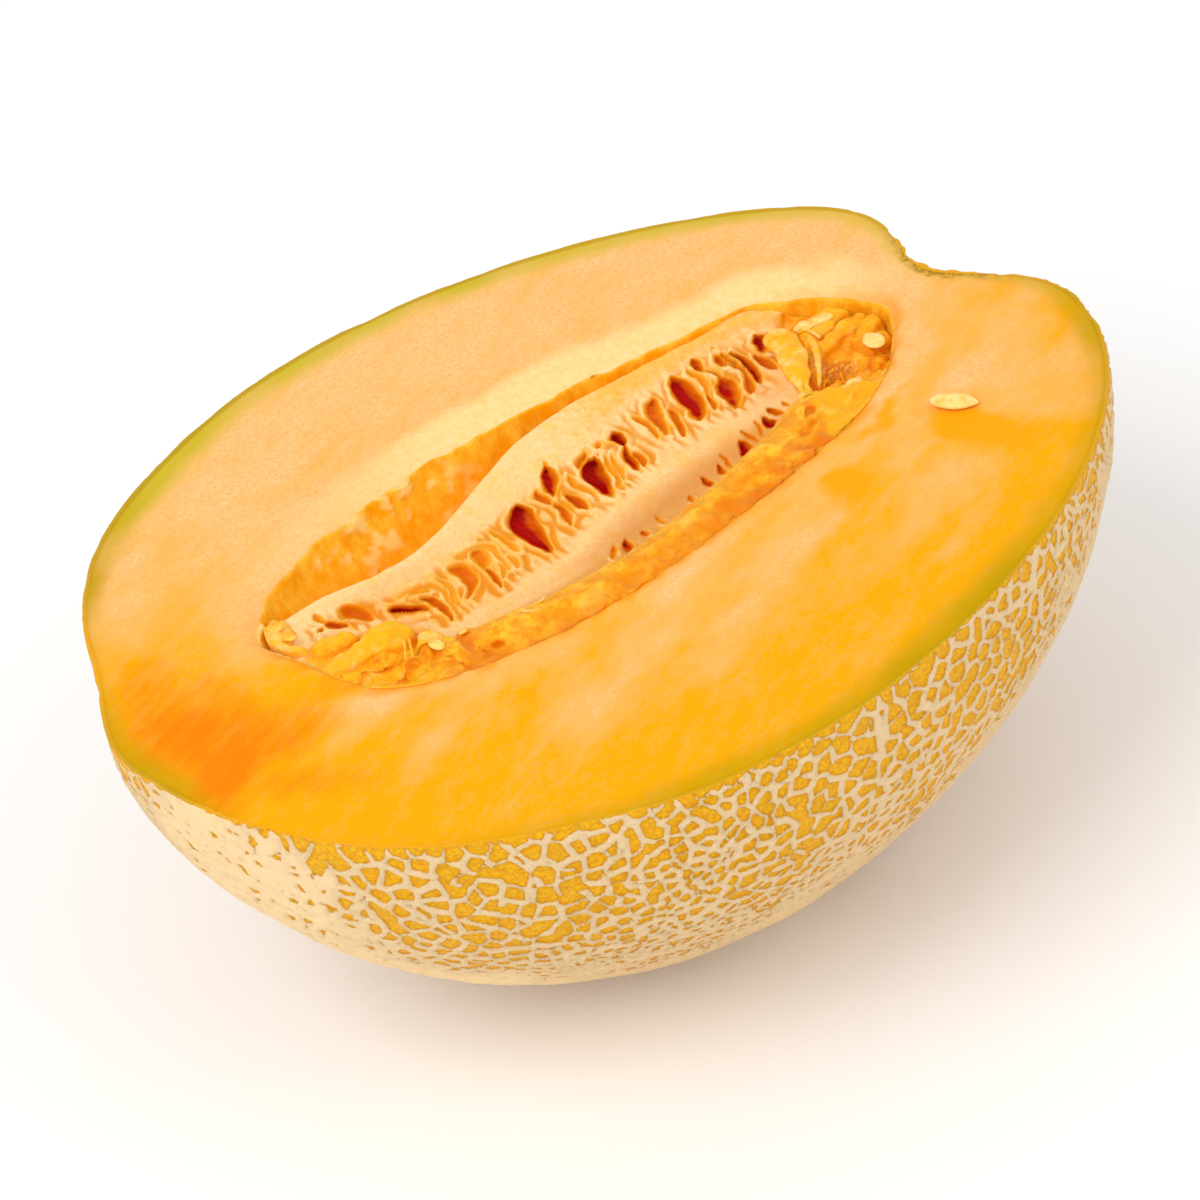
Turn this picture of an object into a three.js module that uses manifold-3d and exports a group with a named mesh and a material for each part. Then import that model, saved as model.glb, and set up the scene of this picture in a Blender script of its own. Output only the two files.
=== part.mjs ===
// Half of a netted melon with orange flesh, cut lengthwise, its seed core still in the hollow.
// Millimetres, +Z up. X runs along the melon with the stem end at +X, and the cut face is level.
// All shapes are first made about the centre of the cut face, then the half is stood on the floor.
import * as THREE from 'three';
import { mergeVertices } from 'three/addons/utils/BufferGeometryUtils.js';
import Module from 'manifold-3d';

const wasm = await Module();
wasm.setup();

// Body of the melon
const HALF_LENGTH = 95.2;
const HALF_WIDTH = 77.4;
const HALF_HEIGHT = 77.5;
const FLAT_SPOT_RISE = 0.8;
const EGG_SHARE = -0.0188;
const TAPER_SHARE = 0.0222;

// Uneven places of the skin: bearing and width in degrees, height and reach down in mm and degrees
const SKIN_SWELLS = [
  { bearing: 8, height: -14.3, width: 10.9, reach: 12 },
  { bearing: 164, height: -1.9, width: 9, reach: 30 },
  { bearing: 178, height: 1.4, width: 7, reach: 20 },
  { bearing: 140, height: 1.0, width: 10, reach: 35 },
  { bearing: -126, height: -1.0, width: 10, reach: 30 },
];

// Hollow for the seeds: its rim in plan, the paler sloping band round it, and how its wall runs down
const HOLLOW_CENTRE = new THREE.Vector2(3, 4.5);
const HOLLOW_HALF_LENGTH = 65;
const HOLLOW_HALF_WIDTH = 28;
const HOLLOW_DEPTH = 28;
const HOLLOW_RIM = [
  [67.5, 9], [63, 17.5], [52, 27], [30, 30.5], [5, 32.7], [-20, 32.3], [-42, 28], [-57, 20.5],
  [-62.5, 13], [-60.5, 2], [-55, -13], [-42, -21], [-10, -24], [20, -19.5], [50, -11], [64, 1],
];
const WALL_FALL_POWER = 1.8;
const WALL_DRAW_POWER = 1.7;
const BAND_WIDTH_FAR = 7.5;
const BAND_WIDTH_NEAR = 1.2;
const RIM_DROP_FAR = 1.5;
const RIM_DROP_NEAR = 0.6;
const FAR_SHARE_POWER = 0.7;

// Seed core: clearance to the hollow, then the crests and troughs that run along it, as x, y, z
const CORE_CLEARANCE = 0.6;
const CORE_LEAST_DEPTH = 1.2;
const CORE_LEAST_THICKNESS = 1;
const FAR_EDGE_DEPTH = [
  [-62, 4], [-50, 10], [-35, 13], [-15, 11], [0, 8], [20, 5], [40, 3], [50, 1.6], [58, 4], [67, 5],
];
const NEAR_EDGE_DEPTH = [[-62, 4], [-50, 3.5], [-36, 2.2], [0, 1.9], [40, 1.9], [55, 2.5], [67, 5]];
const RIDGE = [
  [-58.5, 16, -2.5], [-48, 16.9, -3], [-37.5, 16.3, -4], [-30, 16.9, -4.5], [-22.5, 18.3, -4],
  [-10.5, 23, -2.5], [1, 26.8, -1.5], [20.5, 28.4, -1], [40, 28.6, -0.8], [52, 25.6, -0.8],
  [58, 22, -3],
];
const SHELF = [
  [-58, 12, -3], [-47, 13.9, -4.5], [-29, 13.9, -7], [-11.5, 16.2, -6], [2.7, 18.4, -4.5],
  [14, 21.2, -3.5], [27, 23.6, -3], [42, 23.6, -3], [52, 21.5, -3.5], [60, 18, -5],
];
const SLIT_FOOT = [
  [-58, 8, -3.5], [-45, 10.6, -8], [-29, 6.2, -11], [-18.5, 5.7, -11], [-7.5, 7.7, -11],
  [5.7, 10.9, -9.5], [17.5, 12.8, -9], [30, 14.7, -8.5], [43, 14.2, -8], [50, 15, -5], [60, 13, -4],
];
const SPINE = [
  [-58, 5, -3], [-50, 3.5, -4], [-40, 3, -9], [-29, 3.3, -11.5], [-13, 3.3, -11.5], [6, 7.2, -9.8],
  [20.5, 10.1, -9.3], [35.5, 11.3, -9], [45, 10.5, -8], [52, 9.5, -4], [60, 9, -3.5],
];
const GUTTER = [
  [-58, 3, -3], [-50, 0, -3], [-40, 0, -8], [-28.5, 1.5, -12.3], [-12, 1.2, -13], [8, 2.6, -13.5],
  [22.5, 3.9, -12.5], [33, 5.3, -11.5], [42, 7, -9.5], [50, 6, -5], [60, 6, -3.5],
];
const NEAR_WALL_FOOT = [
  [-58, 1, -3], [-50, -4, -3], [-40, -5, -5], [-30, -7.5, -8.5], [-8, -10.5, -9.5], [10, -8, -9.5],
  [30, -2.2, -8.5], [41, 2, -6.5], [50, 2, -4.5], [60, 4, -3.5],
];
const ROLL_INNER_EDGE = [
  [-58, -2, -3], [-50, -9, -2.5], [-35.5, -11, -1.6], [-24.5, -13.8, -1.2], [-7.5, -14.8, -1.2],
  [10.5, -11.6, -1.2], [30.5, -5.8, -1.2], [41, -1.8, -1.2], [50, -2, -3], [60, 1, -4],
];
const ROLL_CREST = [
  [-58, -5, -3], [-50, -14, -2], [-36, -15.5, 0], [-25, -18, 0.4], [-8, -19, 0.5], [10, -16, 0.5],
  [20, -13.5, 0.5], [30, -10.5, 0.5], [40, -7, 0.4], [50, -6, -1.5], [60, -1.5, -3.5],
];
const LINES_ALONG_CORE = [
  RIDGE, SHELF, SLIT_FOOT, SPINE, GUTTER, NEAR_WALL_FOOT, ROLL_INNER_EDGE, ROLL_CREST,
];

// Spacing kept between neighbouring lines where the core narrows, as a share of its width, and the
// foot of the ridge's far side, as shares of the way from the crest to the core's far edge
const LEAST_LINE_SPACING = 0.03;
const RIDGE_FOOT = { across: 0.55, down: 0.9 };

// Seed pockets between the folds: middle in plan, half width, half length, lean in degrees, depth.
// They are laid out as seen along a sight line that slants down over the cut face from the near
// left: a point shifts this far in plan for each millimetre that it lies below the face.
const SIGHT_SHIFT_X = 0.598;
const SIGHT_SHIFT_Y = 1.196;
const POCKETS = [
  [-52, 7.5, 1.4, 3.6, 12, 3],
  [-47.6, 5, 1.7, 4.2, 16, 3.5],
  [-41.3, -1.2, 1.5, 4.8, 40, 5],
  [-36.6, -3, 1.5, 5.5, 8, 4],
  [-31, 0.3, 1.7, 4.8, -8, 3.5],
  [-25, 1.5, 1.4, 4.5, -14, 3.5],
  [-19.5, 1.5, 1.1, 4.8, -4, 3],
  [-14, 1.2, 2.1, 6.6, -9, 5.5],
  [-7.2, 3.5, 1.1, 5, -6, 4],
  [-4, 11.5, 1.5, 4.4, -24, 4],
  [-3.6, 3, 1.1, 3.4, 4, 4],
  [2.8, 5.2, 2.1, 5.4, -10, 6],
  [9.6, 5.2, 1.3, 4, -12, 4],
  [11.8, 12.6, 1.6, 3.4, -16, 4.5],
  [17, 10.5, 0.9, 4.6, -10, 3],
  [21, 8, 1.1, 4.2, -14, 3.5],
  [21.8, 16, 1.5, 2.3, -20, 3],
  [26.6, 12.8, 2.3, 7, -11, 5],
  [32.9, 8.2, 1.9, 5.2, -20, 5],
  [34, 19.3, 1.1, 2.4, -4, 3],
  [38.2, 16.4, 1.3, 2.8, 4, 3.5],
  [38.4, 7.8, 1.5, 3.8, -22, 4.5],
  [43, 11, 0.9, 3.2, 4, 3],
  [45.7, 15.8, 1.9, 3.3, -10, 4],
  [57, 20, 2.2, 3.6, 18, 3],
  [62, 8, 2.6, 3.4, -50, 2.5],
];
const NEAR_PITS = [
  [-54, -11.5, 1.7, 3.2, 8, 2.5],
  [-49.3, -15.2, 1.7, 2.6, 10, 2.5],
  [-44, -16.6, 1.6, 2.2, -20, 2],
];
const NEAR_SLITS = { count: 10, halfWidth: 1.0, halfLength: 2.4, lean: -8, depth: 2.5 };
const NEAR_SLIT_COURSE = [[-6, -14.2], [3, -13.4], [17, -9.6], [27, -6.3], [38, -2.2]];
const SLITS_INSIDE_ROLL = 0.5;
const POCKET_STEEPNESS = 3;

// Swollen lumps, seeds and the strand that lie on the core: middle, half sizes, turn in degrees
const LUMPS = [
  { x: -57.5, y: 14.5, z: -1.8, long: 3.4, wide: 2.9, high: 2.4, turn: 10 },
  { x: -56, y: 4.8, z: -2.2, long: 4.2, wide: 2.3, high: 1.9, turn: -28 },
  { x: -46.3, y: 0, z: -1.6, long: 4.6, wide: 3.8, high: 2.8, turn: -12 },
  { x: -41.3, y: -10.6, z: -1.4, long: 3.8, wide: 3.0, high: 2.2, turn: -35 },
  { x: -36.4, y: -9.4, z: -1.2, long: 2.8, wide: 2.2, high: 2.0, turn: 10 },
  { x: 58, y: 17, z: -1.6, long: 3.6, wide: 2.1, high: 1.0, turn: 14 },
  { x: 60.6, y: 3.8, z: -2.0, long: 3.0, wide: 2.1, high: 0.9, turn: 70 },
  { x: 50, y: 8.6, z: -1.8, long: 4.2, wide: 1.7, high: 1.0, turn: 48 },
];
const STRAND = {
  from: [51.5, 20.2, -1.4], to: [43.6, -1.4, -0.9], radius: 2.9, bow: 1.6, crown: 0.8,
};

// The loose seed on the cut face
const LOOSE_SEED = {
  tip: [60.5, -28.1], tail: [55.1, -21.2], wide: 4.1, thick: 1.8, taper: 0.28, sunk: 0.25,
  sides: 12, rings: 7,
};

// How finely each surface is divided
const SECTORS = 96;
const RIM_STEPS = 720;
const SKIN_RINGS = 12;
const FACE_RINGS = 3;
const WALL_DEPTHS = [4, 8, 12.5, 17, 21.5, 25, 27.3];
const CORE_COLUMNS = 96;
const CORE_TOP_ROWS = 26;
const CORE_BOTTOM_ROWS = 8;
const MERGE_DISTANCE = 1e-4;

const radians = THREE.MathUtils.degToRad;
const clamp = THREE.MathUtils.clamp;
const lerp = THREE.MathUtils.lerp;

// A smooth curve through [x, value] rows that never overshoots them, as a function of x
function smoothThrough(rows) {
  const count = rows.length;
  const slopes = [];
  for (let i = 0; i < count - 1; i++) {
    slopes.push((rows[i + 1][1] - rows[i][1]) / (rows[i + 1][0] - rows[i][0]));
  }
  const tangents = rows.map((row, i) => {
    if (i === 0 || i === count - 1) return 0;
    const before = slopes[i - 1];
    const after = slopes[i];
    return before * after <= 0 ? 0 : (2 * before * after) / (before + after);
  });
  return (x) => {
    if (x <= rows[0][0]) return rows[0][1];
    if (x >= rows[count - 1][0]) return rows[count - 1][1];
    let i = 0;
    while (x > rows[i + 1][0]) i++;
    const span = rows[i + 1][0] - rows[i][0];
    const t = (x - rows[i][0]) / span;
    const rise = rows[i + 1][1] - rows[i][1];
    const start = tangents[i] * span;
    const end = tangents[i + 1] * span;
    return rows[i][1] + t * (start + t * (3 * rise - 2 * start - end + t * (start + end - 2 * rise)));
  };
}

// Distance of the skin from the middle at a bearing, and how far down it is, both in radians
function skinRadius(bearing, dip = 0) {
  const ellipse = (HALF_LENGTH * HALF_WIDTH)
    / Math.hypot(HALF_WIDTH * Math.cos(bearing), HALF_LENGTH * Math.sin(bearing));
  let radius = ellipse * (1 + EGG_SHARE * Math.cos(bearing) + TAPER_SHARE * Math.cos(3 * bearing));
  for (const swell of SKIN_SWELLS) {
    const aside = bearing - radians(swell.bearing);
    const turned = Math.atan2(Math.sin(aside), Math.cos(aside)) / radians(swell.width);
    const down = dip / radians(swell.reach);
    radius += swell.height * Math.exp(-turned * turned - down * down);
  }
  return radius;
}

function skinPoint(bearing, dip) {
  const radius = skinRadius(bearing, dip) * Math.cos(dip);
  const z = -HALF_HEIGHT * Math.sin(dip);
  return new THREE.Vector3(radius * Math.cos(bearing), radius * Math.sin(bearing), z);
}

// The hollow's rim as a table of bearings and offsets from its middle, both in the rim's own
// proportions, in which the rim is nearly a circle of radius 1
const rimTable = (() => {
  const points = HOLLOW_RIM.map(([x, y]) => new THREE.Vector3(x, y, 0));
  const curve = new THREE.CatmullRomCurve3(points, true);
  const table = curve.getPoints(RIM_STEPS).slice(0, -1).map((point) => {
    const u = (point.x - HOLLOW_CENTRE.x) / HOLLOW_HALF_LENGTH;
    const v = (point.y - HOLLOW_CENTRE.y) / HOLLOW_HALF_WIDTH;
    return { bearing: Math.atan2(v, u), reach: Math.hypot(u, v) };
  });
  return table.sort((a, b) => a.bearing - b.bearing);
})();

function rimReach(bearing) {
  const turned = Math.atan2(Math.sin(bearing), Math.cos(bearing));
  let low = 0;
  let high = rimTable.length;
  while (low < high) {
    const middle = (low + high) >> 1;
    if (rimTable[middle].bearing < turned) low = middle + 1;
    else high = middle;
  }
  const after = rimTable[low % rimTable.length];
  const before = rimTable[(low + rimTable.length - 1) % rimTable.length];
  const full = 2 * Math.PI;
  const span = (after.bearing - before.bearing + full) % full;
  const part = ((turned - before.bearing + full) % full) / span;
  return lerp(before.reach, after.reach, part);
}

// A point of the hollow's outline drawn in to a share of its width, less a clearance
function hollowPoint(bearing, share = 1, clearance = 0) {
  const reach = rimReach(bearing) * share;
  return new THREE.Vector2(
    HOLLOW_CENTRE.x + (HOLLOW_HALF_LENGTH - clearance) * reach * Math.cos(bearing),
    HOLLOW_CENTRE.y + (HOLLOW_HALF_WIDTH - clearance) * reach * Math.sin(bearing),
  );
}

function wallShare(depth, fullDepth = HOLLOW_DEPTH) {
  const fallen = Math.min(depth / fullDepth, 1) ** WALL_FALL_POWER;
  return (1 - fallen) ** (1 / WALL_DRAW_POWER);
}

// Depth of the hollow under a point, for a hollow that is smaller all round by a clearance
function hollowDepth(x, y, clearance = 0) {
  const u = (x - HOLLOW_CENTRE.x) / (HOLLOW_HALF_LENGTH - clearance);
  const v = (y - HOLLOW_CENTRE.y) / (HOLLOW_HALF_WIDTH - clearance);
  const share = Math.min(Math.hypot(u, v) / rimReach(Math.atan2(v, u)), 1);
  return (HOLLOW_DEPTH - clearance) * (1 - share ** WALL_DRAW_POWER) ** (1 / WALL_FALL_POWER);
}

// A closed surface from rings of equal count, each ring a loop of points, with a point at each end
function surfaceFromRings(firstPole, rings, lastPole) {
  const count = rings[0].length;
  const points = [firstPole, ...rings.flat(), lastPole];
  const index = [];
  const at = (ring, j) => 1 + ring * count + (j % count);
  for (let j = 0; j < count; j++) {
    index.push(0, at(0, j + 1), at(0, j));
    for (let ring = 0; ring < rings.length - 1; ring++) {
      index.push(at(ring, j), at(ring + 1, j + 1), at(ring + 1, j));
      index.push(at(ring, j), at(ring, j + 1), at(ring + 1, j + 1));
    }
    index.push(points.length - 1, at(rings.length - 1, j), at(rings.length - 1, j + 1));
  }
  return indexedGeometry(points, index);
}

function indexedGeometry(points, index) {
  const geometry = new THREE.BufferGeometry().setFromPoints(points);
  geometry.setIndex(index);
  return geometry;
}

// Flesh and rind: skin rings from the flat spot up, then rings over the cut face and down the hollow
function fleshGeometry() {
  const bearings = [];
  for (let j = 0; j < SECTORS; j++) {
    bearings.push((2 * Math.PI * j) / SECTORS);
  }
  const flatDip = Math.asin(1 - FLAT_SPOT_RISE / HALF_HEIGHT);
  const rings = [];
  for (let i = SKIN_RINGS; i >= 0; i--) {
    const dip = (flatDip * i) / SKIN_RINGS;
    rings.push(bearings.map((turn) => skinPoint(skinBearing(turn), dip)));
  }
  for (let i = 1; i <= FACE_RINGS; i++) {
    rings.push(bearings.map((turn) => facePoint(turn, i / FACE_RINGS)));
  }
  rings.push(bearings.map((turn) => rimPoint(turn)));
  for (const depth of WALL_DEPTHS) {
    const share = wallShare(depth);
    rings.push(bearings.map((turn) => {
      const point = hollowPoint(turn, share);
      return new THREE.Vector3(point.x, point.y, -depth);
    }));
  }
  const underside = new THREE.Vector3(0, 0, FLAT_SPOT_RISE - HALF_HEIGHT);
  const bottom = new THREE.Vector3(HOLLOW_CENTRE.x, HOLLOW_CENTRE.y, -HOLLOW_DEPTH);
  return surfaceFromRings(underside, rings, bottom);
}

// The bearing of the skin that goes with a bearing measured in the ellipse's own proportions
function skinBearing(turn) {
  return Math.atan2(HALF_WIDTH * Math.sin(turn), HALF_LENGTH * Math.cos(turn));
}

// How far a bearing is round to the far side of the hollow: 0 at its ends and nearer, 1 at the middle
function farShare(turn) {
  return Math.max(Math.sin(turn), 0) ** FAR_SHARE_POWER;
}

// A point on the level cut face, from the skin (0) to the outer edge of the sloping band (1)
function facePoint(turn, share) {
  const outer = skinPoint(skinBearing(turn), 0);
  const rim = hollowPoint(turn);
  const band = lerp(BAND_WIDTH_NEAR, BAND_WIDTH_FAR, farShare(turn));
  const away = new THREE.Vector2(outer.x - rim.x, outer.y - rim.y).setLength(band);
  return new THREE.Vector3(
    lerp(outer.x, rim.x + away.x, share),
    lerp(outer.y, rim.y + away.y, share),
    0,
  );
}

function rimPoint(turn) {
  const rim = hollowPoint(turn, 1);
  return new THREE.Vector3(rim.x, rim.y, -lerp(RIM_DROP_NEAR, RIM_DROP_FAR, farShare(turn)));
}

// Height of the core along each line, as smooth functions of x
const lineCourses = LINES_ALONG_CORE.map((line) => ({
  y: smoothThrough(line.map(([x, y]) => [x, y])),
  z: smoothThrough(line.map(([x, , z]) => [x, z])),
}));
const spineCourse = lineCourses[LINES_ALONG_CORE.indexOf(SPINE)];
const rollCourse = lineCourses[LINES_ALONG_CORE.indexOf(ROLL_INNER_EDGE)];
const farEdgeDepth = smoothThrough(FAR_EDGE_DEPTH);
const nearEdgeDepth = smoothThrough(NEAR_EDGE_DEPTH);

// Where the core's top meets the wall of the hollow
function coreEdge(bearing) {
  const rim = hollowPoint(bearing, 1, CORE_CLEARANCE);
  const edgeDepth = Math.sin(bearing) >= 0 ? farEdgeDepth : nearEdgeDepth;
  const depth = Math.max(edgeDepth(rim.x), CORE_LEAST_DEPTH);
  const share = wallShare(depth, HOLLOW_DEPTH - CORE_CLEARANCE);
  const point = hollowPoint(bearing, share, CORE_CLEARANCE);
  return new THREE.Vector3(point.x, point.y, -depth);
}

// Height of the folded core before pockets and lumps, between its far and near edge points
function foldHeight(x, y, far, near) {
  const width = far.y - near.y;
  const least = LEAST_LINE_SPACING * width;
  const rows = [[near.y, near.z]];
  for (let i = lineCourses.length - 1; i >= 0; i--) {
    const after = lineCourses.length - i;
    const lowest = Math.max(near.y + after * least, rows[rows.length - 1][0] + least);
    const highest = far.y - (i + 2) * least;
    rows.push([clamp(lineCourses[i].y(x), lowest, Math.max(highest, lowest)), lineCourses[i].z(x)]);
  }
  const crest = rows[rows.length - 1];
  rows.push([lerp(crest[0], far.y, RIDGE_FOOT.across), lerp(crest[1], far.z, RIDGE_FOOT.down)]);
  rows.push([far.y, far.z]);
  return smoothThrough(rows)(y);
}

// The row of small slits that the near roll half hides
const nearSlits = (() => {
  const { count, halfWidth, halfLength, lean, depth } = NEAR_SLITS;
  const course = smoothThrough(NEAR_SLIT_COURSE);
  const [first, last] = [NEAR_SLIT_COURSE[0][0], NEAR_SLIT_COURSE.at(-1)[0]];
  return Array.from({ length: count }, (unused, i) => {
    const x = lerp(first, last, i / (count - 1));
    return [x, course(x), halfWidth, halfLength, lean, depth];
  });
})();

// The pockets that can open at a point: the far row beyond the spine, the near ones before it
function pocketsNear(x, y) {
  if (y > spineCourse.y(x)) return POCKETS;
  return y > rollCourse.y(x) + SLITS_INSIDE_ROLL ? [...NEAR_PITS, ...nearSlits] : NEAR_PITS;
}

// How deep the pockets cut in at a point of the folded surface
function pocketDepth(x, y, z) {
  const seenX = x + SIGHT_SHIFT_X * z;
  const seenY = y + SIGHT_SHIFT_Y * z;
  let deepest = 0;
  for (const [middleX, middleY, halfWidth, halfLength, lean, depth] of pocketsNear(x, y)) {
    const turn = radians(lean);
    const dx = seenX - middleX;
    const dy = seenY - middleY;
    const across = (dx * Math.cos(turn) + dy * Math.sin(turn)) / halfWidth;
    const along = (dy * Math.cos(turn) - dx * Math.sin(turn)) / halfLength;
    const outside = Math.hypot(across, along);
    if (outside < 1) deepest = Math.max(deepest, depth * (1 - outside ** POCKET_STEEPNESS));
  }
  return deepest;
}

// Top of a lump at a point, or a low value off it
function lumpHeight(lump, x, y) {
  const turn = radians(lump.turn);
  const dx = x - lump.x;
  const dy = y - lump.y;
  const along = (dx * Math.cos(turn) + dy * Math.sin(turn)) / lump.long;
  const across = (dy * Math.cos(turn) - dx * Math.sin(turn)) / lump.wide;
  const outside = along * along + across * across;
  return outside < 1 ? lump.z + lump.high * Math.sqrt(1 - outside) : -HOLLOW_DEPTH;
}

function strandHeight(x, y) {
  const from = new THREE.Vector2(STRAND.from[0], STRAND.from[1]);
  const run = new THREE.Vector2(STRAND.to[0], STRAND.to[1]).sub(from);
  const length = run.length();
  run.normalize();
  const offset = new THREE.Vector2(x, y).sub(from);
  const part = clamp(offset.dot(run) / length, 0, 1);
  const side = new THREE.Vector2(-run.y, run.x).multiplyScalar(STRAND.bow * Math.sin(Math.PI * part));
  const gap = offset.sub(run.multiplyScalar(part * length)).sub(side).length() / STRAND.radius;
  const middle = lerp(STRAND.from[2], STRAND.to[2], part) - STRAND.radius / 2;
  const crown = STRAND.crown * STRAND.radius * Math.sqrt(Math.max(1 - gap * gap, 0));
  return gap < 1 ? middle + crown : -HOLLOW_DEPTH;
}

function coreHeight(x, y, far, near) {
  const fold = foldHeight(x, y, far, near);
  const floor = -hollowDepth(x, y, CORE_CLEARANCE);
  const carved = Math.max(fold - pocketDepth(x, y, fold), floor + CORE_LEAST_THICKNESS);
  const lumps = LUMPS.map((lump) => lumpHeight(lump, x, y));
  return Math.max(carved, strandHeight(x, y), ...lumps);
}

// Seed core: columns across it from tip to tip, the top and the underside sharing their ends
function coreGeometry() {
  const points = [coreEdge(Math.PI)];
  const columns = [];
  for (let j = 1; j < CORE_COLUMNS; j++) {
    const bearing = Math.acos(clamp((2 * j) / CORE_COLUMNS - 1, -1, 1));
    const far = coreEdge(bearing);
    const near = coreEdge(-bearing);
    const top = [points.push(near) - 1];
    const underside = [top[0]];
    for (let i = 1; i < CORE_TOP_ROWS; i++) {
      const x = lerp(near.x, far.x, i / CORE_TOP_ROWS);
      const y = lerp(near.y, far.y, i / CORE_TOP_ROWS);
      top.push(points.push(new THREE.Vector3(x, y, coreHeight(x, y, far, near))) - 1);
    }
    for (let i = 1; i < CORE_BOTTOM_ROWS; i++) {
      const part = 0.5 - 0.5 * Math.cos((Math.PI * i) / CORE_BOTTOM_ROWS);
      const x = lerp(near.x, far.x, part);
      const y = lerp(near.y, far.y, part);
      const z = -hollowDepth(x, y, CORE_CLEARANCE);
      underside.push(points.push(new THREE.Vector3(x, y, z)) - 1);
    }
    top.push(points.push(far) - 1);
    underside.push(top[top.length - 1]);
    columns.push({ top, underside });
  }
  const lastTip = points.push(coreEdge(0)) - 1;
  return indexedGeometry(points, coreTriangles(columns, lastTip));
}

function coreTriangles(columns, lastTip) {
  const index = [];
  const layers = [['top', false], ['underside', true]];
  for (const [layer, flipped] of layers) {
    const add = (a, b, c) => index.push(a, ...(flipped ? [c, b] : [b, c]));
    const first = columns[0][layer];
    const last = columns[columns.length - 1][layer];
    for (let i = 0; i < first.length - 1; i++) {
      add(0, first[i], first[i + 1]);
      add(lastTip, last[i + 1], last[i]);
    }
    for (let j = 0; j < columns.length - 1; j++) {
      const left = columns[j][layer];
      const right = columns[j + 1][layer];
      for (let i = 0; i < left.length - 1; i++) {
        add(left[i], right[i], right[i + 1]);
        add(left[i], right[i + 1], left[i + 1]);
      }
    }
  }
  return index;
}

// A flat teardrop of a seed, lying on the cut face with a little of it sunk in the juice
function looseSeedGeometry() {
  const tip = new THREE.Vector2(...LOOSE_SEED.tip);
  const tail = new THREE.Vector2(...LOOSE_SEED.tail);
  const run = tip.clone().sub(tail);
  const geometry = new THREE.SphereGeometry(1, LOOSE_SEED.sides, LOOSE_SEED.rings);
  geometry.rotateZ(-Math.PI / 2);
  const position = geometry.getAttribute('position');
  for (let i = 0; i < position.count; i++) {
    const along = position.getX(i);
    const drawn = 1 - LOOSE_SEED.taper * Math.max(along, 0) ** 2;
    position.setY(i, position.getY(i) * drawn);
    position.setZ(i, position.getZ(i) * drawn);
  }
  geometry.scale(run.length() / 2, LOOSE_SEED.wide / 2, LOOSE_SEED.thick / 2);
  geometry.rotateZ(run.angle());
  const middle = tip.add(tail).multiplyScalar(0.5);
  geometry.translate(middle.x, middle.y, LOOSE_SEED.thick / 2 - LOOSE_SEED.sunk);
  return geometry;
}

function solidFrom(geometry) {
  geometry.deleteAttribute('normal');
  geometry.deleteAttribute('uv');
  const merged = mergeVertices(geometry, MERGE_DISTANCE);
  return new wasm.Manifold(new wasm.Mesh({
    numProp: 3,
    vertProperties: new Float32Array(merged.getAttribute('position').array),
    triVerts: new Uint32Array(merged.index.array),
  }));
}

function geometryFrom(solid) {
  const mesh = solid.getMesh();
  const geometry = new THREE.BufferGeometry();
  geometry.setAttribute('position', new THREE.BufferAttribute(mesh.vertProperties, 3));
  geometry.setIndex(new THREE.BufferAttribute(mesh.triVerts, 1));
  geometry.computeVertexNormals();
  return geometry;
}

const fleshMaterial = new THREE.MeshStandardMaterial({ color: 0xfbb14a, roughness: 0.45, metalness: 0 });
const coreMaterial = new THREE.MeshStandardMaterial({ color: 0xf6c777, roughness: 0.3, metalness: 0 });

const fleshSolid = solidFrom(fleshGeometry()).add(solidFrom(looseSeedGeometry()));
const flesh = new THREE.Mesh(geometryFrom(fleshSolid), fleshMaterial);
flesh.name = 'flesh';

const seedCore = new THREE.Mesh(coreGeometry(), coreMaterial);
seedCore.geometry.computeVertexNormals();
seedCore.name = 'seed_core';

// Stand the half on the floor, centred in plan
const melonHalf = new THREE.Group();
melonHalf.name = 'melon_half';
melonHalf.add(flesh, seedCore);
const extent = new THREE.Box3().setFromObject(melonHalf);
const middle = extent.getCenter(new THREE.Vector3());
melonHalf.position.set(-middle.x, -middle.y, -extent.min.z);

export default melonHalf;
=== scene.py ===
# Half of a netted melon: its rind, cut flesh and seed core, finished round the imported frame.
# Lengths are millimetres about the centre of the cut face, +X to the stem end and +Z up, until
# to_frame turns them into metres in the part's own frame.
import itertools
import math
from types import SimpleNamespace

import bpy
import numpy as np
from mathutils import Matrix, Vector
from mathutils.kdtree import KDTree


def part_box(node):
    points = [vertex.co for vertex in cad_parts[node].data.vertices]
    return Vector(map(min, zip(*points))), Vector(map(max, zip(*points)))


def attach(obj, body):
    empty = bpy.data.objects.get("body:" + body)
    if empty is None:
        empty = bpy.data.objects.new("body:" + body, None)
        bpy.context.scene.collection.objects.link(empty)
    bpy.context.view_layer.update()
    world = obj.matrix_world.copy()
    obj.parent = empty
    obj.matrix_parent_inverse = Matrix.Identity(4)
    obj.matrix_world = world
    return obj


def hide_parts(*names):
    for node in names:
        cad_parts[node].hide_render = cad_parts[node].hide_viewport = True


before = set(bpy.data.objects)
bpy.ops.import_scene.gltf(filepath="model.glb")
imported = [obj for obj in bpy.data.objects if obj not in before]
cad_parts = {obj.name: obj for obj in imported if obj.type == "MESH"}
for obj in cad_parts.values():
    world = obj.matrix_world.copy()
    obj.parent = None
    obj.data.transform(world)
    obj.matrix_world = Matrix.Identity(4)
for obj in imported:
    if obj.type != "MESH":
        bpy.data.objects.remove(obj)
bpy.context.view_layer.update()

SEED = 41

# Body of the melon, as in the solid: half sizes, flat spot, and how it tapers to its ends
HALF_LENGTH = 95.2
HALF_WIDTH = 77.4
HALF_HEIGHT = 77.5
FLAT_SPOT_RISE = 0.8
EGG_SHARE = -0.0188
TAPER_SHARE = 0.0222

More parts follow.
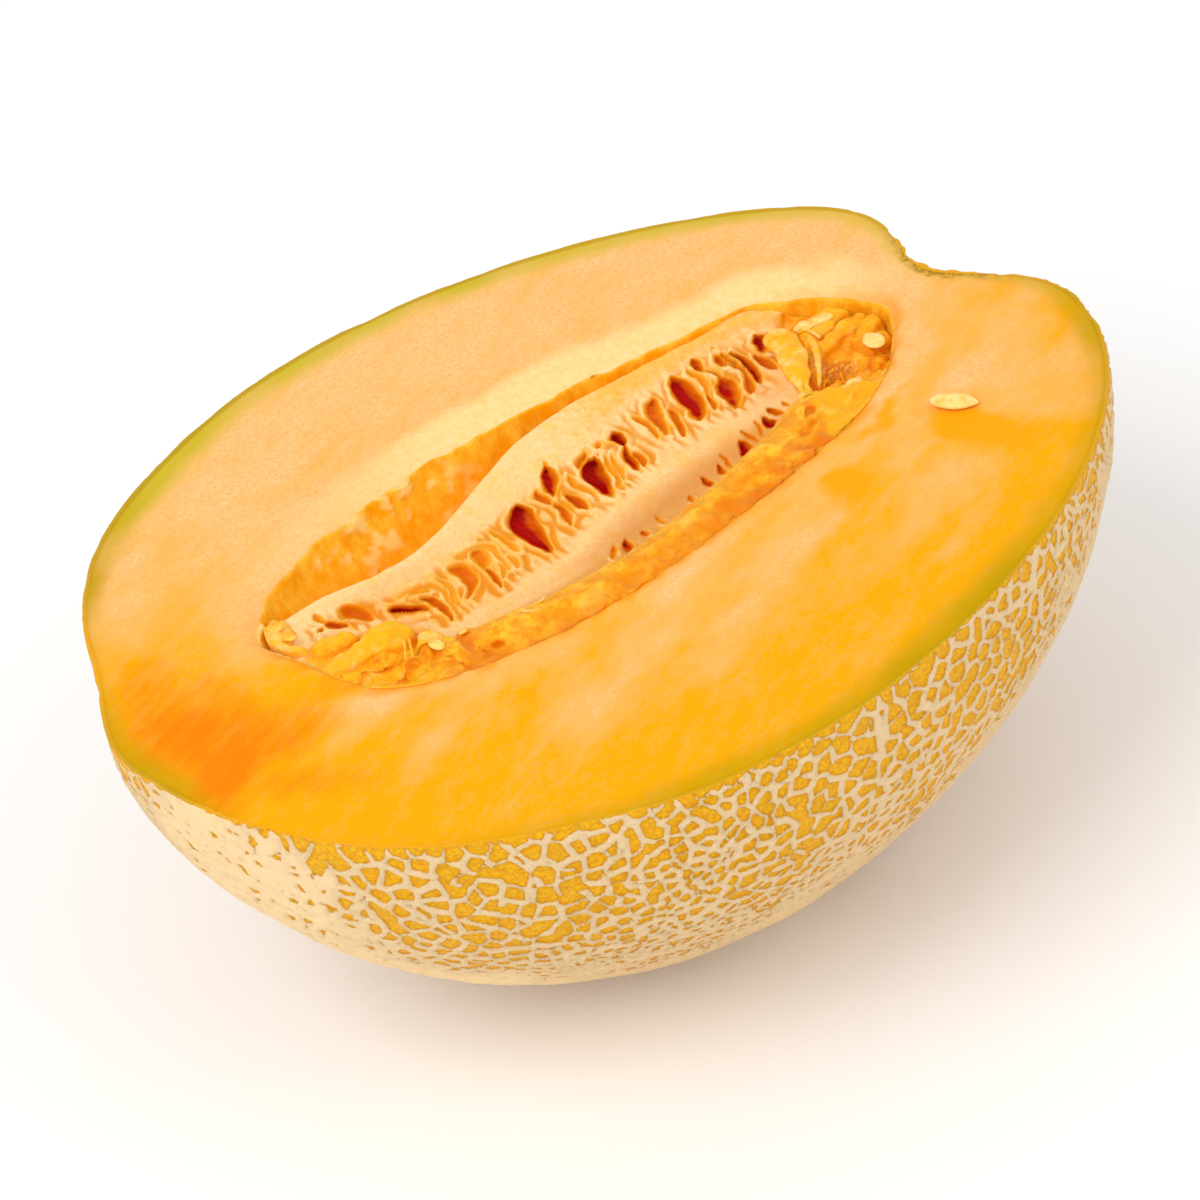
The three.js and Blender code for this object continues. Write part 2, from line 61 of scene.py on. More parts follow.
# Uneven places of the skin: bearing, height, width and reach down
SKIN_SWELLS = [
    (8, -14.3, 10.9, 12), (164, -1.9, 9, 30), (178, 1.4, 7, 20), (140, 1.0, 10, 35),
    (-126, -1.0, 10, 30),
]

# Hollow for the seeds, as in the solid
HOLLOW_CENTRE = np.array([3, 4.5])
HOLLOW_HALF = np.array([65.0, 28.0])
HOLLOW_DEPTH = 28
HOLLOW_RIM = [
    (67.5, 9), (63, 17.5), (52, 27), (30, 30.5), (5, 32.7), (-20, 32.3), (-42, 28), (-57, 20.5),
    (-62.5, 13), (-60.5, 2), (-55, -13), (-42, -21), (-10, -24), (20, -19.5), (50, -11), (64, 1),
]
WALL_FALL_POWER = 1.8
WALL_DRAW_POWER = 1.7
BAND_WIDTH_FAR = 7.5
BAND_WIDTH_NEAR = 1.2
RIM_DROP_FAR = 1.5
RIM_DROP_NEAR = 0.6
FAR_SHARE_POWER = 0.7

# Seed core: its gap to the flesh, and as in the solid the crests and troughs that run along it, as x, y, z
CORE_CLEARANCE = 0.12
CORE_LEAST_DEPTH = 0.8
CORE_LEAST_THICKNESS = 1
FAR_EDGE_DEPTH = [
    (-62, 4), (-50, 10), (-35, 13), (-15, 11), (0, 8), (20, 5), (40, 3), (50, 1.6), (58, 4), (67, 5),
]
NEAR_EDGE_DEPTH = [(-62, 1.4), (-56, 0.9), (-36, 0.9), (0, 0.9), (40, 0.9), (55, 1.2), (62, 1.5), (67, 3.0)]
RIDGE = [
    (-58.5, 16, -2.5), (-48, 16.9, -3), (-37.5, 16.3, -4), (-30, 16.9, -4.5), (-22.5, 18.3, -4),
    (-10.5, 23, -2.5), (1, 26.8, -1.5), (20.5, 28.4, -1), (40, 28.6, -0.8), (52, 25.6, -0.8),
    (58, 22, -3),
]
SHELF = [
    (-58, 12, -3), (-47, 13.9, -4.5), (-29, 13.9, -7), (-11.5, 16.2, -6), (2.7, 18.4, -4.5),
    (14, 21.2, -3.5), (27, 23.6, -3), (42, 23.6, -3), (52, 21.5, -3.5), (60, 18, -5),
]
SLIT_FOOT = [
    (-58, 8, -3.5), (-45, 10.6, -8), (-29, 6.2, -11), (-18.5, 5.7, -11), (-7.5, 7.7, -11),
    (5.7, 10.9, -9.5), (17.5, 12.8, -9), (30, 14.7, -8.5), (43, 14.2, -8), (50, 15, -5), (60, 13, -4),
]
SPINE = [
    (-58, 5, -3), (-50, 3.5, -4), (-40, 3, -9), (-29, 3.3, -11.5), (-13, 3.3, -11.5), (6, 7.2, -9.8),
    (20.5, 10.1, -9.3), (35.5, 11.3, -9), (45, 10.5, -8), (52, 9.5, -4), (60, 9, -3.5),
]
GUTTER = [
    (-58, 3, -3), (-50, 0, -3), (-40, 0, -8), (-28.5, 1.5, -12.3), (-12, 1.2, -13), (8, 2.6, -13.5),
    (22.5, 3.9, -12.5), (33, 5.3, -11.5), (42, 7, -9.5), (50, 6, -5), (60, 6, -3.5),
]
NEAR_WALL_FOOT = [
    (-58, 1, -3), (-50, -4, -3), (-40, -5, -5), (-30, -7.5, -8.5), (-8, -10.5, -9.5), (10, -8, -9.5),
    (30, -2.2, -8.5), (41, 2, -6.5), (50, 2, -4.5), (60, 4, -3.5),
]
ROLL_INNER_EDGE = [
    (-58, -2, -3), (-50, -9, -2.5), (-35.5, -11, -1.6), (-24.5, -13.8, -1.2), (-7.5, -14.8, -1.2),
    (10.5, -11.6, -1.2), (30.5, -5.8, -1.2), (41, -1.8, -1.2), (50, -2, -3), (60, 1, -4),
]
ROLL_CREST = [
    (-58, -5, -3), (-50, -14, -2), (-36, -15.5, 0), (-25, -18, 0.4), (-8, -19, 0.5), (10, -16, 0.5),
    (20, -13.5, 0.5), (30, -10.5, 0.5), (40, -7, 0.4), (50, -6, -1.5), (60, -1.5, -3.5),
]
LINES_ALONG_CORE = [
    ROLL_CREST, ROLL_INNER_EDGE, NEAR_WALL_FOOT, GUTTER, SPINE, SLIT_FOOT, SHELF, RIDGE,
]
LEAST_LINE_SPACING = 0.03
RIDGE_FOOT_ACROSS = 0.55
RIDGE_FOOT_DOWN = 0.9

# Openings between the folds, in the spine's near wall and along the roll, as seen along the sight
# line: three points on each, its half width, where along it that comes, and its depth
SIGHT_SHIFT = np.array([0.598, 1.196])
SIGHT_LINE = np.array([0.358, 0.716, -0.599])
FOLD_SLITS = [
    (-43.7, 1.4, -41.2, 0.0, -38.4, -3.2, 0.8, 0.15, 4.6),
    (-49.3, 8.4, -47.7, 5.4, -47.3, 1.4, 1.6, 0.35, 2.8),
    (-52.6, 11.0, -53.0, 8.8, -52.5, 7.2, 0.4, 0.4, 1.5),
    (-52.8, 7.2, -52.2, 5.4, -51.2, 3.4, 0.7, 0.4, 3.2),
    (-55.0, 6.4, -54.7, 6.0, -54.5, 5.6, 0.5, 0.5, 1.8),
    (-38.7, 2.6, -37.3, 2.2, -35.9, 1.0, 0.5, 0.6, 1.2),
    (-38.2, 0.4, -36.6, -3.8, -37.6, -8.8, 0.5, 0.5, 2.8),
    (-40.4, 3.4, -34.6, 1.2, -35.4, -6.6, 0.22, 0.5, 0.8),
    (-29.9, 3.9, -28.7, -0.4, -32.0, -5.7, 1.3, 0.35, 2.6),
    (-24.3, 4.3, -24.2, 1.6, -25.6, -1.2, 1.3, 0.3, 2.0),
    (-25.5, -1.0, -25.6, -4.0, -26.7, -7.6, 0.4, 0.5, 2.4),
    (-26.8, 5.4, -21.6, 3.6, -22.6, -4.4, 0.22, 0.5, 0.7),
    (-19.3, 7.0, -18.6, 3.0, -18.8, -1.4, 0.4, 0.4, 1.2),
    (-20.6, -1.6, -20.6, -3.2, -21.2, -4.8, 0.3, 0.5, 0.9),
    (-22.6, -2.0, -23.4, -4.0, -24.6, -5.8, 0.25, 0.5, 0.8),
    (-33.2, 3.0, -32.8, -1.0, -34.0, -6.0, 0.25, 0.5, 0.8),
    (-11.6, 9.8, -14.2, 3.2, -15.0, -5.9, 2.2, 0.4, 5.6),
    (-2.0, 14.8, -3.7, 11.2, -6.0, 7.2, 1.15, 0.55, 4.2),
    (-1.6, 16.2, -1.7, 15.4, -2.0, 14.6, 0.25, 0.5, 1.0),
    (-7.1, 10.2, -7.8, 8.0, -7.3, 5.6, 0.65, 0.5, 2.4),
    (-7.2, 5.0, -6.9, 1.6, -8.1, -2.4, 0.5, 0.6, 2.4),
    (-5.7, 5.2, -5.6, 3.0, -5.3, 0.8, 0.24, 0.5, 1.0),
    (-4.0, 5.8, -3.8, 2.4, -3.2, -0.8, 0.75, 0.6, 3.0),
    (-1.0, 9.4, -1.3, 6.0, -0.5, 1.6, 0.35, 0.3, 1.2),
    (5.2, 10.0, 2.5, 6.0, 1.8, -0.4, 2.0, 0.3, 6.0),
    (1.4, 9.9, 3.2, 11.4, 4.9, 12.8, 0.6, 0.6, 2.0),
    (7.4, 12.2, 8.0, 12.7, 8.6, 13.3, 0.35, 0.5, 1.3),
    (6.8, 8.8, 5.6, 4.6, 4.4, 0.6, 0.26, 0.5, 1.0),
    (8.0, 8.2, 6.8, 4.6, 5.8, 1.4, 0.22, 0.5, 0.8),
    (11.9, 13.7, 11.6, 11.6, 11.0, 9.5, 0.95, 0.5, 4.8),
    (10.8, 9.2, 9.8, 6.0, 8.8, 1.8, 0.6, 0.7, 3.6),
    (11.2, 6.6, 11.0, 4.2, 10.3, 1.8, 0.45, 0.5, 2.4),
    (17.4, 15.2, 17.5, 11.0, 16.6, 6.4, 0.4, 0.3, 1.6),
    (22.3, 17.0, 20.0, 12.0, 18.4, 6.4, 1.1, 0.18, 2.8),
    (22.6, 11.4, 21.6, 7.4, 20.1, 3.4, 0.6, 0.4, 2.3),
    (28.4, 19.5, 27.3, 12.6, 25.2, 5.2, 2.0, 0.45, 4.4),
    (31.6, 18.8, 32.0, 14.4, 30.4, 10.2, 0.35, 0.4, 1.3),
    (30.4, 10.4, 29.4, 8.0, 28.6, 5.9, 0.32, 0.5, 2.0),
    (34.0, 20.8, 33.9, 19.2, 33.8, 17.4, 0.75, 0.4, 3.2),
    (33.9, 17.2, 34.6, 14.6, 34.4, 12.2, 0.22, 0.5, 1.6),
    (34.2, 12.8, 33.3, 8.2, 31.3, 3.0, 1.7, 0.45, 3.9),
    (37.4, 18.4, 37.6, 16.6, 37.2, 14.8, 0.65, 0.4, 2.8),
    (38.9, 18.2, 38.9, 15.6, 38.4, 12.4, 0.32, 0.5, 2.0),
    (37.4, 15.0, 38.5, 12.0, 38.2, 9.6, 0.3, 0.5, 1.8),
    (38.0, 10.0, 37.4, 7.2, 36.0, 4.6, 0.65, 0.7, 2.5),
    (40.2, 17.0, 40.2, 12.0, 39.0, 6.4, 0.55, 0.75, 3.8),
    (42.6, 13.2, 42.8, 10.4, 43.2, 7.6, 0.75, 0.5, 2.8),
    (45.8, 18.4, 45.6, 16.0, 44.8, 12.8, 1.3, 0.35, 4.0),
    (38.2, 21.2, 38.5, 21.0, 38.7, 20.7, 0.4, 0.5, 0.8),
    (53.2, 20.2, 53.2, 18.2, 53.0, 16.2, 1.0, 0.5, 2.4),
    (57.6, 23.0, 58.8, 19.4, 61.6, 15.6, 2.3, 0.5, 2.2),
]
WALL_SLITS = [
    (-6.2, -12.8, -7.4, -14.4, -8.8, -15.9, 0.5, 0.5, 1.6),
    (-4.3, -13.2, -4.6, -14.6, -4.9, -16.3, 0.9, 0.9, 3.6),
    (-1.2, -13.6, -1.0, -14.4, -0.7, -15.4, 0.55, 0.7, 2.4),
    (3.4, -11.8, 3.4, -13.2, 3.4, -14.6, 0.35, 0.6, 1.5),
    (11.3, -11.0, 11.1, -12.0, 10.8, -13.2, 0.45, 0.5, 1.6),
    (15.5, -8.8, 15.6, -10.4, 15.8, -12.2, 0.6, 0.7, 3.2),
    (19.6, -7.8, 19.4, -9.4, 19.2, -11.2, 0.5, 0.7, 2.8),
    (21.4, -5.4, 21.5, -8.0, 21.4, -10.4, 0.3, 0.6, 1.8),
    (26.2, -5.2, 25.9, -7.2, 25.4, -9.8, 1.2, 0.9, 4.2),
    (27.9, -2.8, 28.2, -5.2, 28.9, -8.0, 0.5, 0.7, 2.0),
    (31.8, -2.2, 31.4, -4.6, 30.6, -7.2, 0.3, 0.6, 1.6),
    (33.4, -2.6, 33.3, -4.4, 33.2, -6.6, 1.0, 0.8, 4.2),
    (35.5, -0.8, 35.8, -2.8, 36.6, -5.0, 0.55, 0.3, 2.8),
    (38.0, -1.5, 38.2, -2.6, 38.4, -3.8, 0.3, 0.5, 1.6),
]
ROLL_PITS = [
    (-53.2, -6.4, -53.0, -10.0, -53.4, -14.0, 1.8, 0.6, 2.4),
    (-50.0, -14.0, -49.2, -16.0, -48.8, -17.8, 1.4, 0.6, 2.4),
    (-47.2, -11.2, -47.0, -12.6, -47.0, -13.8, 0.6, 0.5, 2.2),
    (-48.0, -14.8, -47.4, -16.0, -46.8, -16.6, 0.7, 0.5, 2.0),
    (-45.6, -17.6, -44.4, -18.2, -43.0, -18.8, 1.0, 0.5, 2.4),
    (-43.2, -10.2, -43.6, -12.2, -43.0, -14.4, 0.6, 0.5, 1.5),
    (-38.6, -13.4, -38.2, -15.6, -38.8, -18.4, 1.2, 0.6, 2.4),
    (-35.0, -18.8, -34.2, -19.4, -33.4, -19.8, 0.7, 0.5, 1.6),
    (31.0, -13.6, 35.0, -11.6, 37.6, -10.8, 0.9, 0.5, 1.5),
    (43.0, -4.8, 40.2, -7.6, 37.4, -11.2, 0.9, 0.6, 1.9),
    (51.8, -8.4, 46.6, -10.0, 40.4, -10.6, 1.0, 0.5, 1.9),
    (56.0, -6.6, 53.6, -7.6, 51.4, -8.4, 1.2, 0.5, 1.4),
]
SLITS_INSIDE_ROLL = 0.5
CARVED_SHARE = 0.55

# The loose seed on the cut face
LOOSE_SEED_TIP = np.array([60.5, -28.1])
LOOSE_SEED_TAIL = np.array([55.1, -21.2])
SEED_WIDTH = 4.1
SEED_THICKNESS = 1.8
SEED_SUNK = 0.28

# Fineness of the meshes
RIND_SPACING = 0.52
FACE_SPACING = 0.85
WALL_SPACING = 0.6
CORE_COLUMNS = 470
CORE_ROWS = 185

# Rind: thickness where it shows at the cut, height of the net's cords, how far they stand out of the solid
SKIN_LINE = 1.2
NET_HEIGHT = 0.55
NET_TOP = 0.03


def smooth_step(low, high, value):
    share = np.clip((value - low) / (high - low), 0, 1)
    return share * share * (3 - 2 * share)


def unit(vectors):
    return vectors / np.maximum(np.linalg.norm(vectors, axis=-1, keepdims=True), 1e-12)


def hashed(cell, seed):
    """A number from 0 to 1 for each row of three whole numbers, always the same for the same row."""
    x, y, z = (cell[..., i].astype(np.int64).astype(np.uint64) for i in range(3))
    mixed = (x * 73856093) ^ (y * 19349663) ^ (z * 83492791) ^ (seed * 2654435761)
    mixed &= 0xFFFFFFFF
    mixed = ((mixed ^ (mixed >> 15)) * 2246822519) & 0xFFFFFFFF
    mixed = ((mixed ^ (mixed >> 13)) * 3266489917) & 0xFFFFFFFF
    return (mixed ^ (mixed >> 16)) / 0xFFFFFFFF


def noise(points, size, seed=0, octaves=1):
    """Smooth noise from about -1 to 1, with bumps about a size apart, and finer ones for more octaves."""
    total = np.zeros(points.shape[:-1])
    strength = 1.0
    for octave in range(octaves):
        scaled = points / size
        cell = np.floor(scaled)
        part = scaled - cell
        part = part ** 3 * (part * (part * 6 - 15) + 10)
        for corner in itertools.product((0, 1), repeat=3):
            weight = np.prod(np.where(corner, part, 1 - part), axis=-1)
            total += strength * weight * (2 * hashed(cell + corner, SEED + seed + 17 * octave) - 1)
        size = size / 2
        strength /= 2
    return total * 1.4


def noises(points, size, seeds):
    """Several noises side by side, one for each seed."""
    return np.stack([noise(points, size, seed) for seed in seeds], axis=-1)


def cubic(part, base, rise, start, end):
    """Smooth curve from a base by a rise, for its slopes at the start and the end."""
    return base + part * (start + part * (3 * rise - 2 * start - end + part * (start + end - 2 * rise)))


def bowed(three_points, part):
    """Points along the curve that bends from the first of three points through the second to the third."""
    start, middle, end = three_points
    bend = 2 * middle - (start + end) / 2
    share = part[:, None]
    return (1 - share) ** 2 * start + 2 * share * (1 - share) * bend + share ** 2 * end


def at_level(plan, height=0.0):
    """Plan points at one height."""
    return np.column_stack([plan, np.full(len(plan), height)])


def through(rows, at):
    """Values at some x of the smooth curve through (x, value) rows that never overshoots them."""
    rows = np.asarray(rows, float)
    at = np.asarray(at, float)
    shape = (len(rows), at.size)
    knots = np.broadcast_to(rows[:, :1], shape)
    values = np.broadcast_to(rows[:, 1:2], shape)
    return through_knots(knots, values, at.ravel()).reshape(at.shape)


def through_knots(knots, values, at):
    """The same for knots that differ from point to point: one column of knots and values for each."""
    slopes = np.diff(values, axis=0) / np.diff(knots, axis=0)
    before, after = slopes[:-1], slopes[1:]
    same_way = before * after > 0
    mean = np.where(same_way, 2 * before * after / np.where(same_way, before + after, 1), 0)
    tangents = np.pad(mean, ((1, 1), (0, 0)))
    at = np.clip(at, knots[0], knots[-1])
    index = np.clip((at > knots).sum(axis=0) - 1, 0, len(knots) - 2)
    column = np.arange(at.size)
    first, second = (index, column), (index + 1, column)
    span = knots[second] - knots[first]
    part = (at - knots[first]) / span
    rise = values[second] - values[first]
    return cubic(part, values[first], rise, tangents[first] * span, tangents[second] * span)


def angle_from(bearing, middle):
    """Angle from a middle bearing, the short way round."""
    return np.arctan2(np.sin(bearing - middle), np.cos(bearing - middle))


def skin_radius(bearing, dip=0.0):
    ellipse = HALF_LENGTH * HALF_WIDTH / np.hypot(
        HALF_WIDTH * np.cos(bearing), HALF_LENGTH * np.sin(bearing)
    )
    radius = ellipse * (1 + EGG_SHARE * np.cos(bearing) + TAPER_SHARE * np.cos(3 * bearing))
    for swell_bearing, height, width, reach in SKIN_SWELLS:
        turned = angle_from(bearing, math.radians(swell_bearing)) / math.radians(width)
        radius = radius + height * np.exp(-turned ** 2 - (dip / math.radians(reach)) ** 2)
    return radius


def skin_point(bearing, dip):
    radius = skin_radius(bearing, dip) * np.cos(dip)
    level = -HALF_HEIGHT * np.sin(dip)
    return np.stack(np.broadcast_arrays(radius * np.cos(bearing), radius * np.sin(bearing), level), -1)


def skin_frame(bearing, dip, step=1e-3):
    """Unit vectors at skin points: along the skin level with the floor, up it, and out of it."""
    along = unit(skin_point(bearing + step, dip) - skin_point(bearing - step, dip))
    up = unit(skin_point(bearing, dip - step) - skin_point(bearing, dip + step))
    return along, up, unit(np.cross(along, up))


def skin_bearing(turn):
    return np.arctan2(HALF_WIDTH * np.sin(turn), HALF_LENGTH * np.cos(turn))


def rim_table():
    """Bearings and reaches of the hollow's rim, in whose own proportions it is nearly a circle."""
    points = np.array(HOLLOW_RIM, float)
    part = np.linspace(0, 1, 45, endpoint=False)[:, None]
    found = []
    for i in range(len(points)):
        four = np.roll(points, 1 - i, axis=0)[:4]
        before, here, after = np.linalg.norm(np.diff(four, axis=0), axis=1) ** 0.5
        rise = four[2] - four[1]
        start = (four[1] - four[0]) / before - (four[2] - four[0]) / (before + here) + rise / here
        end = rise / here - (four[3] - four[1]) / (here + after) + (four[3] - four[2]) / after
        found.append(cubic(part, four[1], rise, start * here, end * here))
    share = (np.concatenate(found) - HOLLOW_CENTRE) / HOLLOW_HALF
    bearing = np.arctan2(share[:, 1], share[:, 0])
    order = np.argsort(bearing)
    return bearing[order], np.linalg.norm(share, axis=1)[order]


RIM_BEARINGS, RIM_REACHES = rim_table()


def rim_reach(bearing):
    return np.interp(bearing, RIM_BEARINGS, RIM_REACHES, period=2 * math.pi)


def hollow_point(bearing, share=1.0, clearance=0.0):
    reach = rim_reach(bearing) * share
    around = np.stack([np.cos(bearing), np.sin(bearing)], -1)
    return HOLLOW_CENTRE + (HOLLOW_HALF - clearance) * around * np.asarray(reach)[..., None]


def wall_share(depth, full_depth=HOLLOW_DEPTH):
    fallen = np.minimum(depth / full_depth, 1) ** WALL_FALL_POWER
    return (1 - fallen) ** (1 / WALL_DRAW_POWER)


def hollow_depth(plan, clearance=0.0):
    """Depth of the hollow under plan points, for a hollow that is smaller all round by a clearance."""
    share = (plan - HOLLOW_CENTRE) / (HOLLOW_HALF - clearance)
    reach = np.linalg.norm(share, axis=-1) / rim_reach(np.arctan2(share[..., 1], share[..., 0]))
    open_part = (1 - np.minimum(reach, 1) ** WALL_DRAW_POWER) ** (1 / WALL_FALL_POWER)
    return (HOLLOW_DEPTH - clearance) * open_part


def far_share(turn):
    return np.maximum(np.sin(turn), 0) ** FAR_SHARE_POWER


def by_side(near, far, turn):
    """A measure that goes from one value on the hollow's near side to another on its far side."""
    return near + (far - near) * far_share(turn)


# Where the plan centre of the cut face lies in the part's frame
flesh_low, flesh_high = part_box("flesh")
outline = skin_point(np.linspace(0, 2 * math.pi, 3600), 0.0)
plan_middle = (outline.max(axis=0) + outline.min(axis=0)) / 2
ORIGIN = np.array([
    (flesh_low.x + flesh_high.x) * 500 - plan_middle[0],
    (flesh_low.y + flesh_high.y) * 500 - plan_middle[1],
    flesh_low.z * 1000 + HALF_HEIGHT - FLAT_SPOT_RISE,
])


def to_frame(points):
    return (np.asarray(points) + ORIGIN) * 0.001


def mesh_object(name, points, triangles, values=None, bake_map=None):
    """A smooth mesh with a float for each point under each of some names, and an optional bake map."""
    mesh = bpy.data.meshes.new(name)
    triangles = np.asarray(triangles, np.int32)
    mesh.vertices.add(len(points))
    mesh.vertices.foreach_set("co", to_frame(points).astype(np.float32).ravel())
    mesh.loops.add(triangles.size)
    mesh.loops.foreach_set("vertex_index", triangles.ravel())
    mesh.polygons.add(len(triangles))
    mesh.polygons.foreach_set("loop_start", np.arange(0, triangles.size, 3, dtype=np.int32))
    mesh.polygons.foreach_set("use_smooth", np.ones(len(triangles), bool))
    for key, column in (values or {}).items():
        data = mesh.attributes.new(key, "FLOAT", "POINT").data
        data.foreach_set("value", np.asarray(column, np.float32))
    if bake_map is not None:
        layer = mesh.uv_layers.new(name="OFBake")
        layer.uv.foreach_set("vector", bake_map[triangles.ravel()].astype(np.float32).ravel())
    mesh.update(calc_edges=True)
    return linked(name, mesh)


def stitched(counts):
    """Triangles between neighbouring rings of evenly spaced points that all turn the same way."""
    starts = np.concatenate([[0], np.cumsum(counts)])
    found = []
    for ring in range(len(counts) - 1):
        near, far = counts[ring], counts[ring + 1]
        keys = np.concatenate([(np.arange(near) + 0.5) / near, (np.arange(far) + 0.5) / far])
        on_near = np.concatenate([np.ones(near, bool), np.zeros(far, bool)])
        on_near = on_near[np.argsort(keys, kind="stable")]
        near_at = np.cumsum(on_near) - on_near
        far_at = np.cumsum(~on_near) - ~on_near
        a = starts[ring] + near_at % near
        b = starts[ring + 1] + far_at % far
        third_near = starts[ring] + (near_at + 1) % near
        third_far = starts[ring + 1] + (far_at + 1) % far
        found.append(np.stack([a, b, np.where(on_near, third_near, third_far)], -1))
    return np.concatenate(found)


def fan(centre, first, count, outward):
    """Triangles from a centre to the ring of points that starts at first."""
    here = first + np.arange(count)
    after = first + (np.arange(count) + 1) % count
    sides = (after, here) if outward else (here, after)
    return np.stack([np.full(count, centre), *sides], -1)


def closed_from_rings(rings):
    """Points and outward triangles of a body whose first and last rings close on their middles."""
    counts = [len(ring) for ring in rings]
    points = np.concatenate([*rings, rings[0].mean(axis=0)[None], rings[-1].mean(axis=0)[None]])
    total = sum(counts)
    triangles = np.concatenate([
        stitched(counts),
        fan(total, 0, counts[0], True),
        fan(total + 1, total - counts[-1], counts[-1], False),
    ])
    return points, triangles


def turns(count):
    return 2 * math.pi * np.arange(count) / count


class Finish:
    """A node material under construction, with short calls for the nodes that the finishes share."""

    def __init__(self, name):
        self.material = bpy.data.materials.new(name)
        self.material.use_nodes = True
        self.tree = self.material.node_tree
        self.shader = self.tree.nodes["Principled BSDF"]
        self.place = self.made("TexCoord", {})["Object"]

    def put(self, socket, value):
        """Link a socket or set its value; colours come in 0 to 255 display values."""
        if isinstance(value, bpy.types.NodeSocket):
            self.tree.links.new(value, socket)
        elif socket.type == "RGBA":
            socket.default_value = (*(linear(part) for part in value), 1)
        else:
            socket.default_value = value

    def made(self, kind, inputs, **settings):
        """Outputs of a new node of a kind, with its settings made and its inputs put in."""
        node = self.tree.nodes.new("ShaderNode" + kind)
        for key, value in settings.items():
            setattr(node, key, value)
        for key, value in inputs.items():
            self.put(node.inputs[key], value)
        return node.outputs

    def attributes(self, *names):
        return [self.made("Attribute", {}, attribute_name=name)["Fac"] for name in names]

    def math(self, operation, *values, clamp=False):
        return self.made("Math", dict(enumerate(values)), operation=operation, use_clamp=clamp)[0]

    def part(self, value, share, clamp=False):
        return self.math("MULTIPLY", value, share, clamp=clamp)

    def swung(self, value, pattern, reach, clamp=False):
        """A value that a pattern round 0.5 swings up and down."""
        return self.math("MULTIPLY_ADD", self.math("SUBTRACT", pattern, 0.5), reach, value, clamp=clamp)

    def step(self, value, low, high, to_low=0.0, to_high=1.0):
        inputs = {"Value": value, "From Min": low, "From Max": high, "To Min": to_low, "To Max": to_high}
        return self.made("MapRange", inputs, interpolation_type="SMOOTHSTEP")["Result"]

    def noise(self, size_mm, detail=4.0, roughness=0.7, place=None):
        inputs = {"Scale": 1000 / size_mm, "Detail": detail, "Roughness": roughness}
        return self.made("TexNoise", {"Vector": place or self.place, **inputs})["Fac"]

    def stretched(self, lengths, turn=0.0):
        """Places in which a pattern is longer by some factors along axes turned about the vertical."""
        inputs = {"Vector": self.place, "Scale": lengths, "Rotation": (0, 0, math.radians(turn))}
        return self.made("Mapping", inputs, vector_type="TEXTURE")["Vector"]

    def mix(self, share, first, second):
        return self.made("Mix", {0: share, 6: first, 7: second}, data_type="RGBA")[2]

    def mottled(self, size_mm, low, high, first, second):
        """One colour with patches of another, of about a size."""
        return self.mix(self.step(self.noise(size_mm), low, high), first, second)

    def under(self, shade, *layers):
        """A shade under layers of colour, each given as its share and its colour."""
        for share, tone in layers:
            shade = self.mix(share, shade, tone)
        return shade

    def bump(self, height, distance_mm, strength):
        inputs = {"Height": height, "Distance": distance_mm / 1000, "Strength": strength}
        return self.made("Bump", inputs)["Normal"]

    def set(self, **settings):
        for key, value in settings.items():
            self.put(self.shader.inputs[key.replace("_", " ")], value)


def linear(display):
    """Linear light of a 0 to 255 display value."""
    part = display / 255
    return part / 12.92 if part <= 0.04045 else ((part + 0.055) / 1.055) ** 2.4


def dressed(piece, material, node):
    """Give a piece its material, its body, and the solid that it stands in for."""
    piece.data.materials.append(material)
    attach(piece, "root")
    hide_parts(node)


def linked(name, data):
    """A new object of the scene."""
    made = bpy.data.objects.new(name, data)
    bpy.context.scene.collection.objects.link(made)
    return made


# Camera, floor and light
CAMERA_AZIMUTH = -26.557
CAMERA_ELEVATION = 36.792
CAMERA_DISTANCE = 821.48
CAMERA_ROLL = -13.04
CAMERA_LENS = 144
CAMERA_SENSOR = 36
CAMERA_REACH = 20
CAMERA_TARGET = np.array([-15.93, -22.86, 0])
# Each soft light: name, degrees round and up, metres away and wide, watts
AREA_LIGHTS = [("key", -75, 52, 1.5, 0.9, 8.8), ("fill", 35, 35, 1.7, 1.2, 4.5)]
LIGHTS_AIM = Vector((0, 0, 0.05))
SKY_STRENGTH = 0.78
FLOOR_REACH = 3.0
FLOOR_WHITE = (251.6, 251.6, 251.6)


def direction(azimuth, elevation):
    """Unit vector away from the object, for degrees round from its front and up from the floor."""
    turn, rise = math.radians(azimuth), math.radians(elevation)
    return np.array([
        math.sin(turn) * math.cos(rise), -math.cos(turn) * math.cos(rise), math.sin(rise),
    ])


def add_camera():
    place = Vector(to_frame(direction(CAMERA_AZIMUTH, CAMERA_ELEVATION) * CAMERA_DISTANCE))
    behind = (place - Vector(to_frame(CAMERA_TARGET))).normalized()
    right = Vector((0, 0, 1)).cross(behind).normalized()
    up = behind.cross(right)
    roll = math.radians(CAMERA_ROLL)
    rolled_right = math.cos(roll) * right + math.sin(roll) * up
    rolled_up = math.cos(roll) * up - math.sin(roll) * right
    data = bpy.data.cameras.new("camera")
    data.lens = CAMERA_LENS
    data.sensor_width = CAMERA_SENSOR
    data.clip_end = CAMERA_REACH
    camera = linked("camera", data)
    turned = Matrix((rolled_right, rolled_up, behind)).transposed().to_4x4()
    camera.matrix_world = Matrix.Translation(place) @ turned
    bpy.context.scene.camera = camera


def add_area_light(name, azimuth, elevation, distance, size, power):
    """A square soft light that faces the object."""
    data = bpy.data.lights.new(name, "AREA")
    data.size = size
    data.energy = power
    away = Vector(direction(azimuth, elevation))
    light = linked(name, data)
    light.location = away * distance + LIGHTS_AIM
    light.rotation_euler = away.to_track_quat("Z", "Y").to_euler()


